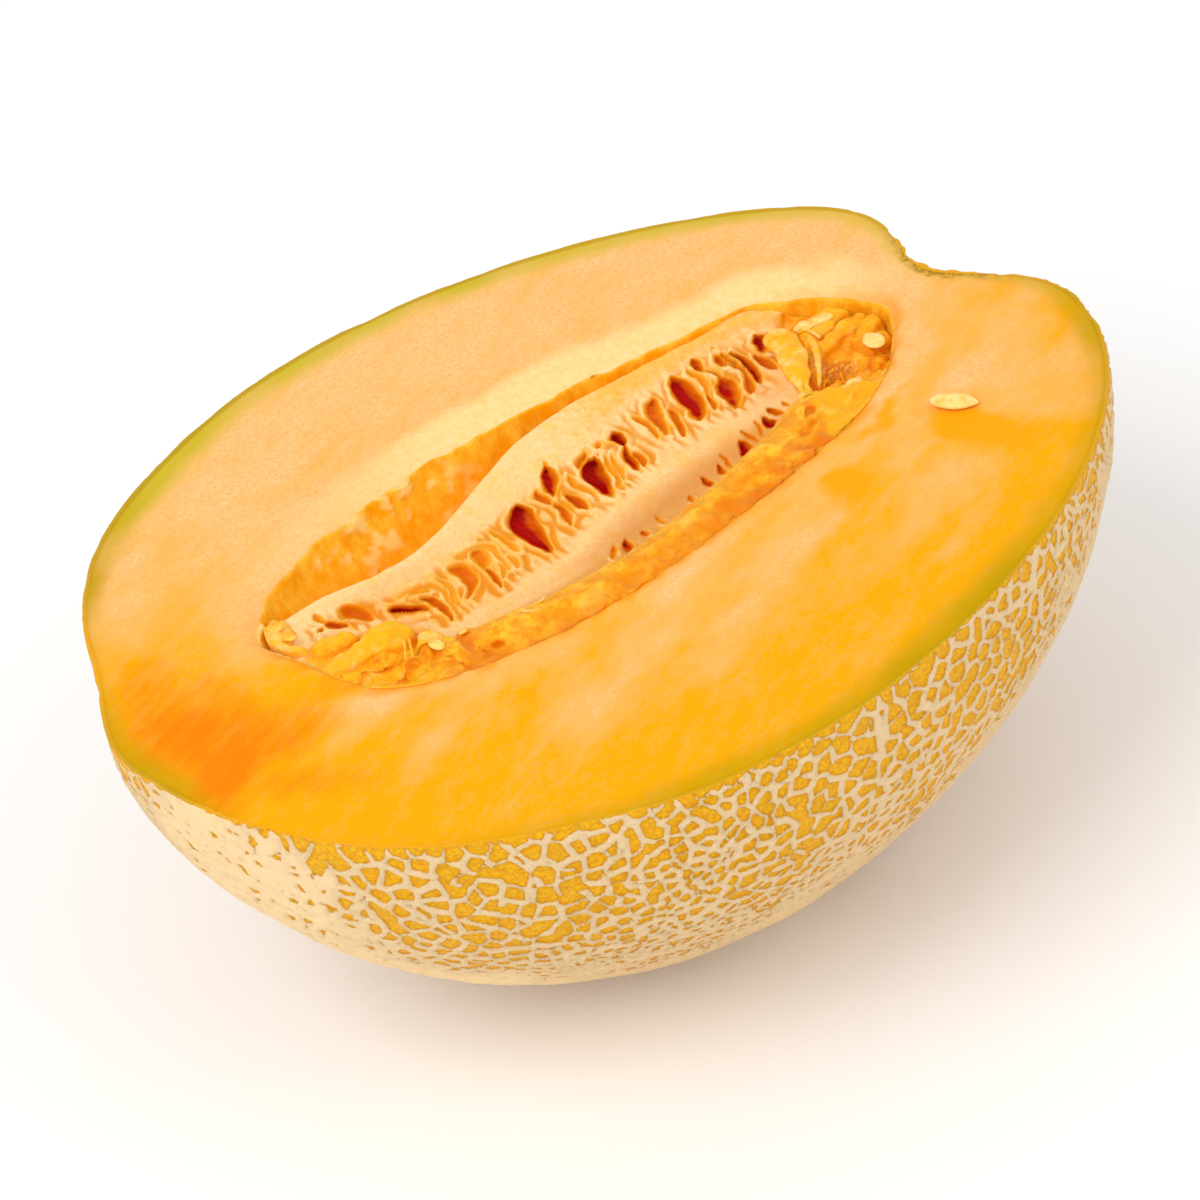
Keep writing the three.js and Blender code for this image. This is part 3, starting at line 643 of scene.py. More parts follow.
def add_stage():
    corners = [(x * FLOOR_REACH, y * FLOOR_REACH, 0) for x, y in ((-1, -1), (1, -1), (1, 1), (-1, 1))]
    floor_mesh = bpy.data.meshes.new("floor")
    floor_mesh.from_pydata(corners, [], [(0, 1, 2, 3)])
    floor = linked("floor", floor_mesh)
    finish = Finish("floor")
    finish.set(Base_Color=FLOOR_WHITE, Roughness=0.9, Specular_IOR_Level=0.1)
    floor_mesh.materials.append(finish.material)
    world = bpy.data.worlds.new("studio")
    world.use_nodes = True
    background = world.node_tree.nodes["Background"]
    background.inputs["Color"].default_value = (1, 1, 1, 1)
    background.inputs["Strength"].default_value = SKY_STRENGTH
    bpy.context.scene.world = world
    for row in AREA_LIGHTS:
        add_area_light(*row)
    bpy.context.scene.view_settings.view_transform = "Standard"


# Rind


# Net of cords: how far its cells' middles lie apart, how much closer low down, how close they may crowd,
# how many are drawn, and how many near a point are looked at
CELL_SPACING = 3.6
CELL_SHRINK = 1.5
CELL_CROWDING = 0.72
CELL_DRAWS = 90000
CELLS_NEAR = 8

# Its fine cords and its trunks: half width, how it differs from cord to cord and the share that is missing,
# the share of the cells that trunks run between, and which chances make a cord end halfway or go missing
CORD_HALF_WIDTH = 0.43
CORD_SPREAD = 0.5
CORDS_MISSING = 0.06
TRUNK_HALF_WIDTH = 0.42
TRUNK_SPREAD = 0.6
TRUNKS_MISSING = 0.45
TRUNK_CELLS = 0.06
ENDING_CHANCE = 2.2
MISSING_WIDTH = -3

# Radii that set how many points the skin gets, and how close its rings lie to each other
MEAN_PLAN_RADIUS = 86
MEAN_ARC_RADIUS = 82
RING_GAP_SHARE = 0.87

# The skin at its highest and at the cut, the rind's hidden inside, the flat spot's width, how the cut ring
# slopes, as distances in and levels, and the net distance given to points that show no net
HIGHEST_SKIN = 0.2
EDGE_LEVEL = -0.06
INNER_SIDES = 96
RIND_THICKNESS = 2.2
FLAT_SPOT_REACH = 12
CUT_RING = [(0.12, 0.0), (0.6, -0.02), (SKIN_LINE + 0.25, -0.25)]
OFF_THE_NET = 3

# The scar of the stem: bearing, half width and drop, as angles
STEM_BEARING = 0.14
STEM_HALF_WIDTH = 0.2
STEM_DROP = 0.26

# Corky places of the rind: bearing, dip, half sizes in degrees, strength
CORK_PLACES = [
    (-167, 20, 15, 26, 1.0), (-152, 42, 15, 15, 0.95), (-130, 55, 24, 9, 0.9), (-98, 62, 26, 8, 0.6),
]


def net_spacing(bearing, dip):
    """Typical distance between the middles of the net's cells."""
    wide = CELL_SPACING - CELL_SHRINK * smooth_step(math.radians(12), math.radians(40), dip)
    return wide * (1 + 0.14 * np.sin(5 * bearing + 2) + 0.08 * np.sin(11 * bearing + 9 * dip))


def tree_of(points):
    tree = KDTree(len(points))
    for i, point in enumerate(points):
        tree.insert(point, i)
    tree.balance()
    return tree


def net_sites(draw):
    """Middles of the net's cells: random points of the skin, thinned until none crowd."""
    bearing = draw.uniform(-math.pi, math.pi, CELL_DRAWS)
    dip = np.arcsin(draw.uniform(-0.04, 1, CELL_DRAWS))
    spacing = net_spacing(bearing, dip)
    keep = draw.uniform(0, 1, CELL_DRAWS) < (2.0 / spacing) ** 2
    points = skin_point(bearing, dip)[keep]
    spacing = spacing[keep]
    tree = tree_of(points)
    alive = np.ones(len(points), bool)
    for i, point in enumerate(points):
        if alive[i]:
            crowd = [j for _, j, _ in tree.find_range(point, CELL_CROWDING * spacing[i]) if j != i]
            alive[crowd] = False
    return points[alive]


def net_distance(points, along, up, sites, stretch, half_width, spread, missing, fillet):
    """Signed distance to the nearest cord of a net whose cords run between neighbouring sites.

    Negative inside a cord. Each cord has a width of its own, some are missing, and some end halfway.
    """
    tree = tree_of(sites)
    near = np.array([[j for _, j, _ in tree.find_n(point, CELLS_NEAR)] for point in points])
    away = sites[near] - points[:, None]
    level = (away * along[:, None]).sum(-1)
    rising = (away * up[:, None]).sum(-1)
    out = away - level[..., None] * along[:, None] - rising[..., None] * up[:, None]
    sideways = stretch[:, None]
    lengths = (sideways * level) ** 2 + rising ** 2 + (out ** 2).sum(-1)
    order = np.argsort(lengths, axis=1)
    near, lengths, level, rising = (
        np.take_along_axis(column, order, 1) for column in (near, lengths, level, rising)
    )
    step_level = sideways ** 2 * (level[:, 1:] - level[:, :1])
    step_rising = rising[:, 1:] - rising[:, :1]
    distance = (lengths[:, 1:] - lengths[:, :1]) / (2 * np.hypot(step_level, step_rising) + 1e-9)
    first = np.minimum(near[:, :1], near[:, 1:])
    second = np.maximum(near[:, :1], near[:, 1:])
    pair = np.stack([first, second, np.zeros_like(first)], -1)
    width = half_width[:, None] * (1 + spread * (2 * hashed(pair, 7) - 1))
    # Along a cord that ends halfway, its width fades to nothing from its middle on
    middle_level = (level[:, :1] + level[:, 1:]) / 2
    middle_rising = (rising[:, :1] + rising[:, 1:]) / 2
    across = np.hypot(step_level, step_rising) + 1e-9
    along_cord = (middle_level * step_rising - middle_rising * step_level) / across
    flip = np.where(near[:, :1] < near[:, 1:], 1, -1)
    chance = hashed(pair, 11)
    ends = (chance > missing) & (chance < ENDING_CHANCE * missing)
    fading = smooth_step(-0.3, 0.9, along_cord * flip)
    width = np.where(ends, width - (width + 0.5) * fading, width)
    width = np.where(chance < missing, MISSING_WIDTH, width)
    gap = np.clip(distance - width, -5, 8)
    return -fillet * np.log(np.exp(-gap / fillet).sum(axis=1))


def rind_rings():
    """Bearings and dips of the skin's points, ring by ring from the cut down to the flat spot."""
    flat_dip = math.asin(1 - FLAT_SPOT_RISE / HALF_HEIGHT)
    dips = np.linspace(0, flat_dip, int(flat_dip * MEAN_ARC_RADIUS / (RIND_SPACING * RING_GAP_SHARE)))
    rings = []
    for dip in dips:
        around = 2 * math.pi * MEAN_PLAN_RADIUS * math.cos(dip)
        turn = turns(max(int(around / RIND_SPACING), 24))
        rings.append((skin_bearing(turn), np.full(len(turn), dip)))
    return rings


def skin_grid():
    """How many points each ring of the skin has, and their bearings, dips, places and skin frames."""
    rings = rind_rings()
    counts = [len(bearing) for bearing, _ in rings]
    bearing, dip = (np.concatenate(column) for column in zip(*rings))
    parts = [(bearing, dip, skin_point(bearing, dip), *skin_frame(bearing, dip))]
    # The flat spot: rings drawn in to its middle
    steps = int(FLAT_SPOT_REACH / RIND_SPACING)
    for i in range(1, steps):
        share = 1 - i / steps
        count = max(int(len(rings[-1][0]) * share), 8)
        around = skin_bearing(turns(count))
        edge = skin_point(around, np.full(count, dip[-1]))
        along = at_level(np.column_stack([-np.sin(around), np.cos(around)]))
        up = at_level(np.column_stack([np.cos(around), np.sin(around)]))
        out = np.tile([0.0, 0.0, -1.0], (count, 1))
        counts.append(count)
        parts.append((around, np.full(count, math.pi / 2), edge * [share, share, 1], along, up, out))
    return counts, [np.concatenate(column) for column in zip(*parts)]


def cork_cover(points, bearing, dip):
    """How corky the skin is, which hides the net: round the blossom end and low on the near left."""
    cork = np.zeros(len(points))
    for cork_bearing, cork_dip, wide, tall, strength in CORK_PLACES:
        aside = np.degrees(angle_from(bearing, math.radians(cork_bearing)))
        reach = np.hypot(aside / wide, (np.degrees(dip) - cork_dip) / tall)
        reach += 0.16 * noise(points, 9, 21) + 0.1 * noise(points, 3, 22)
        cork = np.maximum(cork, strength * smooth_step(1.1, 0.6, reach))
    return cork


def net_gap(points, dip, along, up, lower, cork):
    """Signed distance from the edge of the net's nearest cord, fine or trunk, negative inside."""
    draw = np.random.default_rng(SEED)
    sites = net_sites(draw)
    trunk_sites = sites[draw.uniform(0, 1, len(sites)) < TRUNK_CELLS]
    warped = points + 0.5 * noises(points, 4.5, (3, 103, 203)) + 0.22 * noises(points, 1.8, (5, 105, 205))
    stretch = 1.08 - 0.25 * lower
    wide = CORD_HALF_WIDTH + 0.08 * noise(points, 12, 29)
    fine = net_distance(warped, along, up, sites, stretch, wide, CORD_SPREAD, CORDS_MISSING, 0.09)
    wide = TRUNK_HALF_WIDTH + 0.25 * noise(points, 8, 31)
    trunks = net_distance(warped, along, up, trunk_sites, stretch, wide, TRUNK_SPREAD, TRUNKS_MISSING, 0.12)
    net = -0.1 * np.log(np.exp(-fine / 0.1) + np.exp(-trunks / 0.1))
    pits = smooth_step(0.25, 0.9, noise(points, 1.5, 24, octaves=2))
    below_cut = dip * HALF_HEIGHT + 0.5 * noise(points, 1.6, 25)
    return net + cork * (1.5 * pits - 1.5) + 0.35 * smooth_step(1.2, 0.2, below_cut)


def skin_height(points, bearing, dip, net, lower, cork, scar):
    """Height of flat-topped cords on slightly swollen cells, lower where the knife has passed."""
    near_cut = smooth_step(math.radians(5), math.radians(0.5), dip)
    far_cut = near_cut * smooth_step(-0.3, 0.1, np.sin(bearing))
    height = NET_HEIGHT * (1 + 0.2 * noise(points, 7, 33)) * (1 - 0.25 * lower)
    height *= smooth_step(0.16, -0.3, net)
    height += 0.07 * smooth_step(-0.3, -0.9, net) + 0.12 * smooth_step(0.2, 1.6, net)
    height *= 1 - 0.6 * far_cut - 0.25 * near_cut
    height += 0.03 * noise(points, 1.2, 35) + cork * 0.12 * noise(points, 2.0, 36, octaves=2)
    height += scar * 0.45 * noise(points, 2.4, 37, octaves=2)
    height += NET_TOP - NET_HEIGHT * (1 - 0.4 * far_cut) + 0.3 * np.minimum(noise(points, 10, 38), 0)
    height += 0.18 * near_cut * np.minimum(noise(points, 3.5, 39), 0)
    return np.minimum(height, HIGHEST_SKIN)


def inner_rings(dips):
    """Rings of the rind's hidden inside."""
    shrunk = 1 - RIND_THICKNESS / HALF_HEIGHT
    bearing = skin_bearing(turns(INNER_SIDES))
    return [skin_point(bearing, np.full(INNER_SIDES, dip)) * shrunk for dip in dips]


def add_rind():
    counts, (bearing, dip, points, along, up, out) = skin_grid()
    lower = smooth_step(math.radians(16), math.radians(48), dip)
    cork = cork_cover(points, bearing, dip)
    dimple = np.hypot(angle_from(bearing, STEM_BEARING) / STEM_HALF_WIDTH, dip / STEM_DROP)
    scar = smooth_step(1.2, 0.6, dimple + 0.15 * noise(points, 4, 23))
    net = net_gap(points, dip, along, up, lower, cork)
    points = points + skin_height(points, bearing, dip, net, lower, cork, scar)[:, None] * out
    points[:, 2] = np.maximum(points[:, 2], FLAT_SPOT_RISE - HALF_HEIGHT)
    breaks = np.cumsum(counts)[:-1]
    skins = np.split(points, breaks)
    looks = np.split(np.column_stack([net, lower, cork, scar]), breaks)
    split = int(np.searchsorted(breaks, len(points) / 2))
    # The cut ring, which slopes down under the flesh's edge
    edge = skins[0]
    inward = -unit(out[:counts[0]] * [1, 1, 0])
    cut = [at_level((edge + depth * inward)[:, :2], level) for depth, level in CUT_RING]
    edge[:, 2] = np.minimum(edge[:, 2], EDGE_LEVEL)
    split_dip = dip[breaks[split - 1]]
    material = rind_material()
    above = inner_rings(split_dip * np.array([0.1, 0.5, 1]))
    rings = skins[:split + 1][::-1] + cut + above + [skins[split]]
    add_rind_piece("rind_upper", rings, looks[:split + 1][::-1], len(cut), False, material)
    below = inner_rings(split_dip + (math.pi / 2 - split_dip) * np.array([0, 0.3, 0.6, 0.9]))
    rings = skins[split:][::-1] + [skins[split]] + below
    add_rind_piece("rind_lower", rings, looks[split:][::-1], 0, True, material)


def add_rind_piece(name, rings, looks, cut_rings, ends_close, material):
    """One part of the rind; its first rings have looks, and the next few are the cut ring."""
    counts = [len(ring) for ring in rings]
    if ends_close:
        points, triangles = closed_from_rings(rings)
    else:
        points, triangles = np.concatenate(rings), stitched(counts)
    seen = sum(counts[:len(looks)])
    columns = np.zeros((4, len(points)))
    columns[:, :seen] = np.concatenate(looks).T
    values = dict(zip(("net", "low", "cork", "scar"), columns))
    values["net"][seen:] = OFF_THE_NET
    values["cut"] = np.zeros(len(points))
    values["cut"][seen:sum(counts[:len(looks) + cut_rings])] = 1
    values["green"] = green_belt(np.arctan2(points[:, 1], points[:, 0]))[1]
    piece = mesh_object(name, points, triangles, values, rind_map(points))
    dressed(piece, material, "flesh")


def rind_map(points):
    """Rind flattened about its lowest point, for the bake."""
    sunk = np.arctan2(-points[:, 2], np.linalg.norm(points[:, :2], axis=1))
    around = unit(points[:, :2])
    return 0.5 + around * ((math.pi / 2 - sunk) / math.pi)[:, None] * 0.98


def rind_material():
    finish = Finish("rind")
    mix, step, part, noise_at = finish.mix, finish.step, finish.part, finish.noise
    net, low, cork, scar, cut, green = finish.attributes("net", "low", "cork", "scar", "cut", "green")
    # The cords' edges are ragged
    distance = finish.swung(net, noise_at(0.8, 3, 0.6), 0.4)
    cover = step(distance, 0.1, -0.06)
    grain = step(noise_at(0.7), 0.3, 0.7)
    cracks = step(noise_at(0.5, 3), 0.56, 0.7, 0, 0.4)
    skin = finish.under(
        mix(grain, (220, 144, 0), (248, 190, 8)),
        (step(noise_at(7, 3, 0.6), 0.42, 0.7, 0, 0.35), (216, 164, 16)),
        (part(low, 0.55), (208, 146, 76)),
        # Painted shadow: darker brown skin close beside the cords, where they stand up from it
        (step(distance, 0.45, 0.05, 0, 0.4), (186, 110, 14)),
        (step(noise_at(1.8, 4, 0.75), 0.56, 0.7, 0, 0.4), (184, 96, 16)),
    )
    cord = finish.under(
        mix(noise_at(1.0), (214, 178, 124), (246, 220, 178)),
        (part(low, 0.5), (236, 196, 140)),
        (cracks, (186, 138, 86)),
        (part(cork, 0.8), mix(noise_at(2.5), (244, 202, 142), (254, 228, 180))),
    )
    shade = finish.under(
        mix(cover, skin, cord),
        (scar, finish.mottled(1.2, 0.3, 0.7, (136, 106, 22), (220, 186, 96))),
        (cut, mix(green, (250, 168, 10), (190, 156, 14))),
    )
    height = finish.math("ADD", part(cover, 0.3), part(grain, 0.25))
    height = finish.math("ADD", height, part(cracks, -0.25))
    finish.set(Base_Color=shade, Roughness=step(cover, 0, 1, 0.45, 0.8))
    finish.set(Normal=finish.bump(height, 0.3, 0.8), Specular_IOR_Level=0.15)
    return finish.material


# Flesh


# The flesh's hidden underside and the lip that it has over the rind's cut ring
HIDDEN_SIDES = 96
HIDDEN_SHARES = (0.97, 0.8, 0.6, 0.4, 0.2, 0.06)
HIDDEN_THICKNESS = 3.2
LIP_OUT = 0.12
LIP_LEVEL = -0.3

# Width of the cut face, lengths round it, the band and the wall, which set how many points they get, and
# where the wall begins, is no longer seen and has its middle
FACE_WIDTH = 34
OUTLINE_LENGTH = 540
BAND_LENGTH = 235
BAND_ROUND = 225
WALL_ROUND = 212
WALL_TOP = 2.0
WALL_SEEN = 14
WALL_MIDDLE_LEVEL = -8.0

# Kinds of the flesh's rings
UNDERSIDE, FACE, BAND, WALL = range(4)


def face_ring(turn, share):
    """Points of the level cut face from its outer edge (0) to the outer edge of the pale band (1)."""
    outer = skin_point(skin_bearing(turn), 0.0)[:, :2]
    rim = hollow_point(turn)
    away = unit(outer - rim)
    outer = outer - SKIN_LINE * away
    inner = rim + away * by_side(BAND_WIDTH_NEAR, BAND_WIDTH_FAR, turn)[:, None]
    return outer + (inner - outer) * share


def band_ring(turn, share):
    """Points of the sloping band from its outer edge (0) to the hollow's rim (1), level at first."""
    outer = face_ring(turn, 1.0)
    drop = by_side(RIM_DROP_NEAR, RIM_DROP_FAR, turn)
    return np.column_stack([outer + (hollow_point(turn) - outer) * share, -drop * share ** 1.6])


def flesh_rings():
    """Rings of the flesh from its underside over the cut face down into the hollow, each with its kind."""
    bearing = skin_bearing(turns(HIDDEN_SIDES))
    shrunk = 1 - HIDDEN_THICKNESS / HALF_HEIGHT
    for share in HIDDEN_SHARES:
        yield skin_point(bearing, np.full(HIDDEN_SIDES, share * math.pi / 2)) * shrunk, UNDERSIDE
    steps = int(FACE_WIDTH / FACE_SPACING)
    for i in range(steps):
        share = i / steps
        length = OUTLINE_LENGTH * (1 - share) + BAND_LENGTH * share
        flat = face_ring(turns(int(length / FACE_SPACING)), share)
        if i == 0:
            yield at_level(flat + unit(flat) * LIP_OUT, LIP_LEVEL), FACE
        yield at_level(flat), FACE
    steps = int(BAND_WIDTH_FAR / WALL_SPACING)
    for i in range(steps):
        yield band_ring(turns(int(BAND_ROUND / WALL_SPACING)), i / steps), BAND
    yield band_ring(turns(int(WALL_ROUND / WALL_SPACING)), 1.0), WALL
    seen = [(depth, WALL_SPACING) for depth in np.arange(WALL_TOP, WALL_SEEN, WALL_SPACING)]
    hidden = [(depth, 2) for depth in np.arange(WALL_SEEN + 0.5, HOLLOW_DEPTH - 0.3, 1.6)]
    for depth, spacing in seen + hidden:
        share = wall_share(depth)
        turn = turns(max(int(WALL_ROUND * share / spacing), 24))
        yield at_level(hollow_point(turn, share), -depth), WALL


def outline_distance(plan):
    """Distance of plan points inside the skin's outline, nearly exact close to it."""
    bearing = np.arctan2(plan[:, 1], plan[:, 0])
    radius = skin_radius(bearing)
    step = 1e-3
    slant = (skin_radius(bearing + step) - skin_radius(bearing - step)) / (2 * step * radius)
    return (radius - np.linalg.norm(plan, axis=1)) / np.sqrt(1 + slant ** 2)


def rim_distance(plan):
    """Distance of plan points outside the hollow's rim, negative inside it."""
    share = (plan - HOLLOW_CENTRE) / HOLLOW_HALF
    reach = np.linalg.norm(share, axis=-1)
    rim = rim_reach(np.arctan2(share[:, 1], share[:, 0]))
    scale = np.linalg.norm(HOLLOW_HALF * unit(share / HOLLOW_HALF * reach[:, None]), axis=-1)
    return (reach - rim) * scale


# Blots of colour on the cut face, deep orange, golden, wet and pale: middle, half length, half width,
# lean, strength
DEEP_BLOTS = [
    (-84, -3, 15, 10, 84, 0.8), (-83, -13, 12, 8, 24, 0.85), (-75, -14, 11, 5, 14, 0.65),
    (-84, 11, 13, 7, 70, 0.5), (-78, -24, 12, 4, -34, 0.45), (-70, -10.5, 9, 3.4, 8, 0.5),
    (-58, -9, 5, 2.4, -10, 0.4), (-52, -21, 5, 1.6, -30, 0.3),
]
GOLD_BLOTS = [
    (-62, -4.5, 11, 5, 12, 0.5), (-50, -43, 13, 3, 24, 0.2), (-37, -36, 4.6, 2.2, 35, 0.4),
    (-22, -58, 20, 5, 10, 0.3), (10, -61, 24, 4, -2, 0.35), (30, -50, 12, 3, 6, 0.1),
    (58, -38, 8, 5, -25, 0.4), (52, -26, 10, 2, 14, 0.25), (24, -38, 9, 2, 20, 0.2),
    (-40, -26, 5, 2, 10, 0.1), (-30, 47, 20, 5, 4, 0.2), (-66, 30, 12, 8, 50, 0.3),
    (-84, 22, 9, 5, 70, 0.35), (30, 44, 12, 2.4, 0, 0.12), (80, 6, 8, 3, 80, 0.15),
    (36, -18, 9, 2.6, 20, 0.25), (60, 24, 5, 3, -60, 0.25), (-50, -26, 7, 3, 10, 0.4),
    (18, -23, 5, 2.4, 12, 0.2), (-46, -31, 5, 2, 20, 0.2), (-60, 42, 12, 5, 26, 0.25),
    (-58, -8, 4, 3, 0, 0.65),
]
JUICE_BLOTS = [
    (56.5, -31, 9, 4.2, -62, 1.0), (33, -29, 5, 4.6, 10, 0.95), (46, -17.5, 6, 2.2, 12, 0.8),
    (62, -42, 7, 3, -25, 0.5), (-36.5, -36, 3.4, 1.6, 35, 0.6), (55, -15, 4, 1.2, 25, 0.4),
]
PALE_BLOTS = [
    (-73, -5.2, 13, 1.2, 4, 1.0), (-61, -15, 7, 3, -20, 1.2), (-30, -28, 10, 3, 6, 0.7),
    (-67, -20, 6, 3, 20, 0.8), (52, -13, 7, 2.4, 14, 0.7), (-2, -27, 12, 3.0, 2, 1.0),
    (-20, -41, 14, 2.2, 20, 0.55), (-66, -14, 6, 2, 0, 0.7), (-62, -50, 9, 1.6, 25, 0.4),
    (14, -34, 14, 3, 10, 0.5), (40, -42, 11, 5, 16, 0.65), (64, -22, 9, 4, 20, 0.6),
    (-32, 52, 22, 3, 2, 0.3), (2, 54, 16, 6, 0, 0.3), (-20, -52, 9, 1.6, 14, 0.3),
    (10, -52, 10, 1.6, 4, 0.3), (0, -44, 9, 2.4, 4, 0.2), (63, -6, 5, 3, 40, 0.9),
]

# Green of the flesh under the rind: bearing, how far in it reaches and how strong it is
GREEN_BELT = [
    (-178, 6.0, 0.85), (-173, 5.0, 0.8), (-168, 3.5, 0.35), (-160, 3.0, 0.1), (-148, 3.0, 0.1),
    (-135, 4.0, 0.35), (-122, 5.5, 0.6), (-110, 7.0, 0.75), (-95, 7.0, 0.8), (-80, 7.5, 1.0),
    (-65, 8.0, 1.0), (-52, 7.0, 0.7), (-40, 6.0, 0.55), (-30, 5.0, 0.6), (-20, 5.5, 0.7),
    (-10, 6.5, 0.85), (0, 4.0, 0.35), (10, 3.5, 0.3), (20, 5.0, 0.7), (32, 5.5, 0.8), (45, 6.5, 0.8),
    (60, 6.5, 0.85), (75, 7.5, 0.85), (88, 7.0, 0.9), (100, 8.0, 0.95), (125, 8.0, 1.0), (138, 8.0, 0.95),
    (150, 5.0, 0.75), (158, 3.5, 0.3), (165, 3.0, 0.25), (172, 4.5, 0.6),
]

# Angles of the flesh's streaks and of the crumples in the pale band, and how full orange is reached slowly:
# from where, by how much more, and over what
STREAK_LEAN = 26
CRUMPLE_LEAN = 60
NEAR_ORANGE = 0.75
ORANGE_LEFT = 0.25
ORANGE_SLOWNESS = 0.35


def green_belt(bearing):
    """How far in the green under the rind reaches at some bearings, and how strong it is."""
    degrees, reach, strength = np.array(GREEN_BELT).T
    return [np.interp(np.degrees(bearing), degrees, column, period=360) for column in (reach, strength)]


def oval_reach(away, length, width, lean):
    """Distance from the middle of a slanted oval, as a share of its half length and half width."""
    turn = math.radians(lean)
    along = away[:, 0] * math.cos(turn) + away[:, 1] * math.sin(turn)
    across = away[:, 1] * math.cos(turn) - away[:, 0] * math.sin(turn)
    return np.hypot(along / length, across / width)


def blots(plan, rows, softness):
    """How strongly any of some slanted oval blots covers plan points, from 0 to 1."""
    found = np.zeros(len(plan))
    flat = at_level(plan)
    moved = plan + 1.6 * noises(flat, 9, (51, 53)) + 0.7 * noises(flat, 3, (55, 57))
    for x, y, length, width, lean, strength in rows:
        reach = oval_reach(moved - [x, y], length, width, lean)
        found = np.maximum(found, strength * smooth_step(1 + softness, 1 - softness, reach))
    return found


def shape_flesh(points, flat, kind, edge, rim, far):
    """Move the flesh's points to its uneven face, rim and wall, and return its beads and near lip."""
    face = smooth_step(UNDERSIDE + 0.5, FACE, kind) * smooth_step(WALL, BAND, kind)
    wall = smooth_step(BAND, WALL, kind)
    rise = 0.16 * noise(flat, 22, 61) + 0.08 * noise(flat, 7, 63) + 0.035 * noise(flat, 2.4, 65)
    crumple = noise(flat @ lean_matrix(CRUMPLE_LEAN) * [1, 0.5, 1], 2.6, 67, octaves=2)
    crumple *= 0.12 + 0.22 * np.exp(-((flat[:, 0] + 7) / 9) ** 2)
    crumple *= smooth_step(FACE, BAND, kind) * far
    points[:, 2] += face * (rise * smooth_step(0.6, 4, edge) + crumple)
    outward = unit(points - [*HOLLOW_CENTRE, WALL_MIDDLE_LEVEL])
    fibres = 0.22 * noise(points * [1, 1, 0.4], 2.6, 71, octaves=2) + 0.4 * noise(points, 7, 73)
    # The far rim wanders a little
    wander = 0.7 * noise(flat, 6, 87) + 0.35 * noise(flat, 2.2, 89)
    wander *= far * np.exp(-(rim / 1.8) ** 2)
    points[:, :2] += wander[:, None] * unit(points[:, :2] - HOLLOW_CENTRE)
    # Beads on the wall: small real bumps, which the flesh's material also paints pale as highlights
    beads = smooth_step(0.15, 0.6, noise(points * [1, 1, 0.7], 1.6, 74))
    beads *= smooth_step(-0.3, 0.2, noise(points, 8, 76))
    beads *= smooth_step(4, -20, points[:, 0])
    points -= (wall * (0.32 * beads - fibres))[:, None] * outward
    # The near rim is scalloped where the roll has come away from it
    lip = (1 - far) * smooth_step(2.6, 0.2, rim - 0.9 * noise(flat, 3.0, 77)) * face
    points[:, 2] -= 0.35 * lip
    return beads, lip


def flesh_orange(plan, flat, edge, near):
    """How orange the cut face is: deeper to the near edge and the left end, in streaks and blots; towards
    the near edge partly the flesh's own colour and partly painted light.
    """
    x, y = plan.T
    belt = smooth_step(38, 11, edge) * smooth_step(0.1, 0.75, -np.sin(np.arctan2(y, x) + 0.12))
    belt *= 1 - 0.5 * smooth_step(58, 78, x)
    left = smooth_step(-54, -77, x) * smooth_step(50, 12, y)
    streaks = noise(flat @ lean_matrix(STREAK_LEAN) * [0.3, 1, 1], 5, 78, octaves=3)
    orange = 0.13 + 0.39 * near + 0.43 * belt + 0.76 * left + streaks * (0.08 + 0.12 * near)
    orange += 0.3 * near * smooth_step(16, 4, edge)
    orange += blots(plan, GOLD_BLOTS, 0.7) - 0.3 * blots(plan, PALE_BLOTS, 0.7)
    # Full orange is reached slowly, so that its mottling stays
    slowed = NEAR_ORANGE + ORANGE_LEFT * np.tanh((orange - NEAR_ORANGE) / ORANGE_SLOWNESS)
    return np.where(orange > NEAR_ORANGE, slowed, orange)


def add_flesh():
    rings, kinds = zip(*flesh_rings())
    points, triangles = closed_from_rings(rings)
    kind = np.append(np.repeat(kinds, [len(ring) for ring in rings]), [UNDERSIDE, WALL])
    flat = at_level(points[:, :2])
    edge = outline_distance(flat[:, :2])
    rim = rim_distance(flat[:, :2])
    across = (flat[:, :2] - HOLLOW_CENTRE) / HOLLOW_HALF
    far = far_share(np.arctan2(across[:, 1], across[:, 0]))
    wall = smooth_step(BAND, WALL, kind)
    beads, lip = shape_flesh(points, flat, kind, edge, rim, far)
    plan = points[:, :2]
    x, y = plan.T
    bearing = np.arctan2(y, x)
    near = smooth_step(18, -20, y + 3 * noise(flat, 14, 75))
    band = smooth_step(10.5, 5.5, rim - 1.2 * noise(flat, 5, 79)) * smooth_step(0.3, 0.8, far)
    stem = np.exp(-((bearing - STEM_BEARING) / 0.14) ** 4)
    green_reach, green = green_belt(bearing)
    values = {
        "edge": edge, "near": np.maximum(near, smooth_step(-50, -78, x)),
        "orange": flesh_orange(plan, flat, edge, near), "wall": wall,
        "stem": stem * smooth_step(3.2, 1.4, edge + 0.8 * noise(flat, 1.5, 85)),
        "band": band * smooth_step(-64, 0, x) * (1 - wall), "lip": lip, "beads": beads,
        "deep": blots(plan, DEEP_BLOTS, 0.9), "juice": blots(plan, JUICE_BLOTS, 0.65),
        "depth": np.where(kind == WALL, -points[:, 2], 0),
        "green": green * (1 + 0.2 * noise(flat, 9, 83)), "green_reach": green_reach,
    }
    dressed(mesh_object("flesh_cut", points, triangles, values), flesh_material(), "flesh")


def lean_matrix(degrees):
    turn = math.radians(degrees)
    return np.array([
        [math.cos(turn), -math.sin(turn), 0], [math.sin(turn), math.cos(turn), 0], [0, 0, 1],
    ])


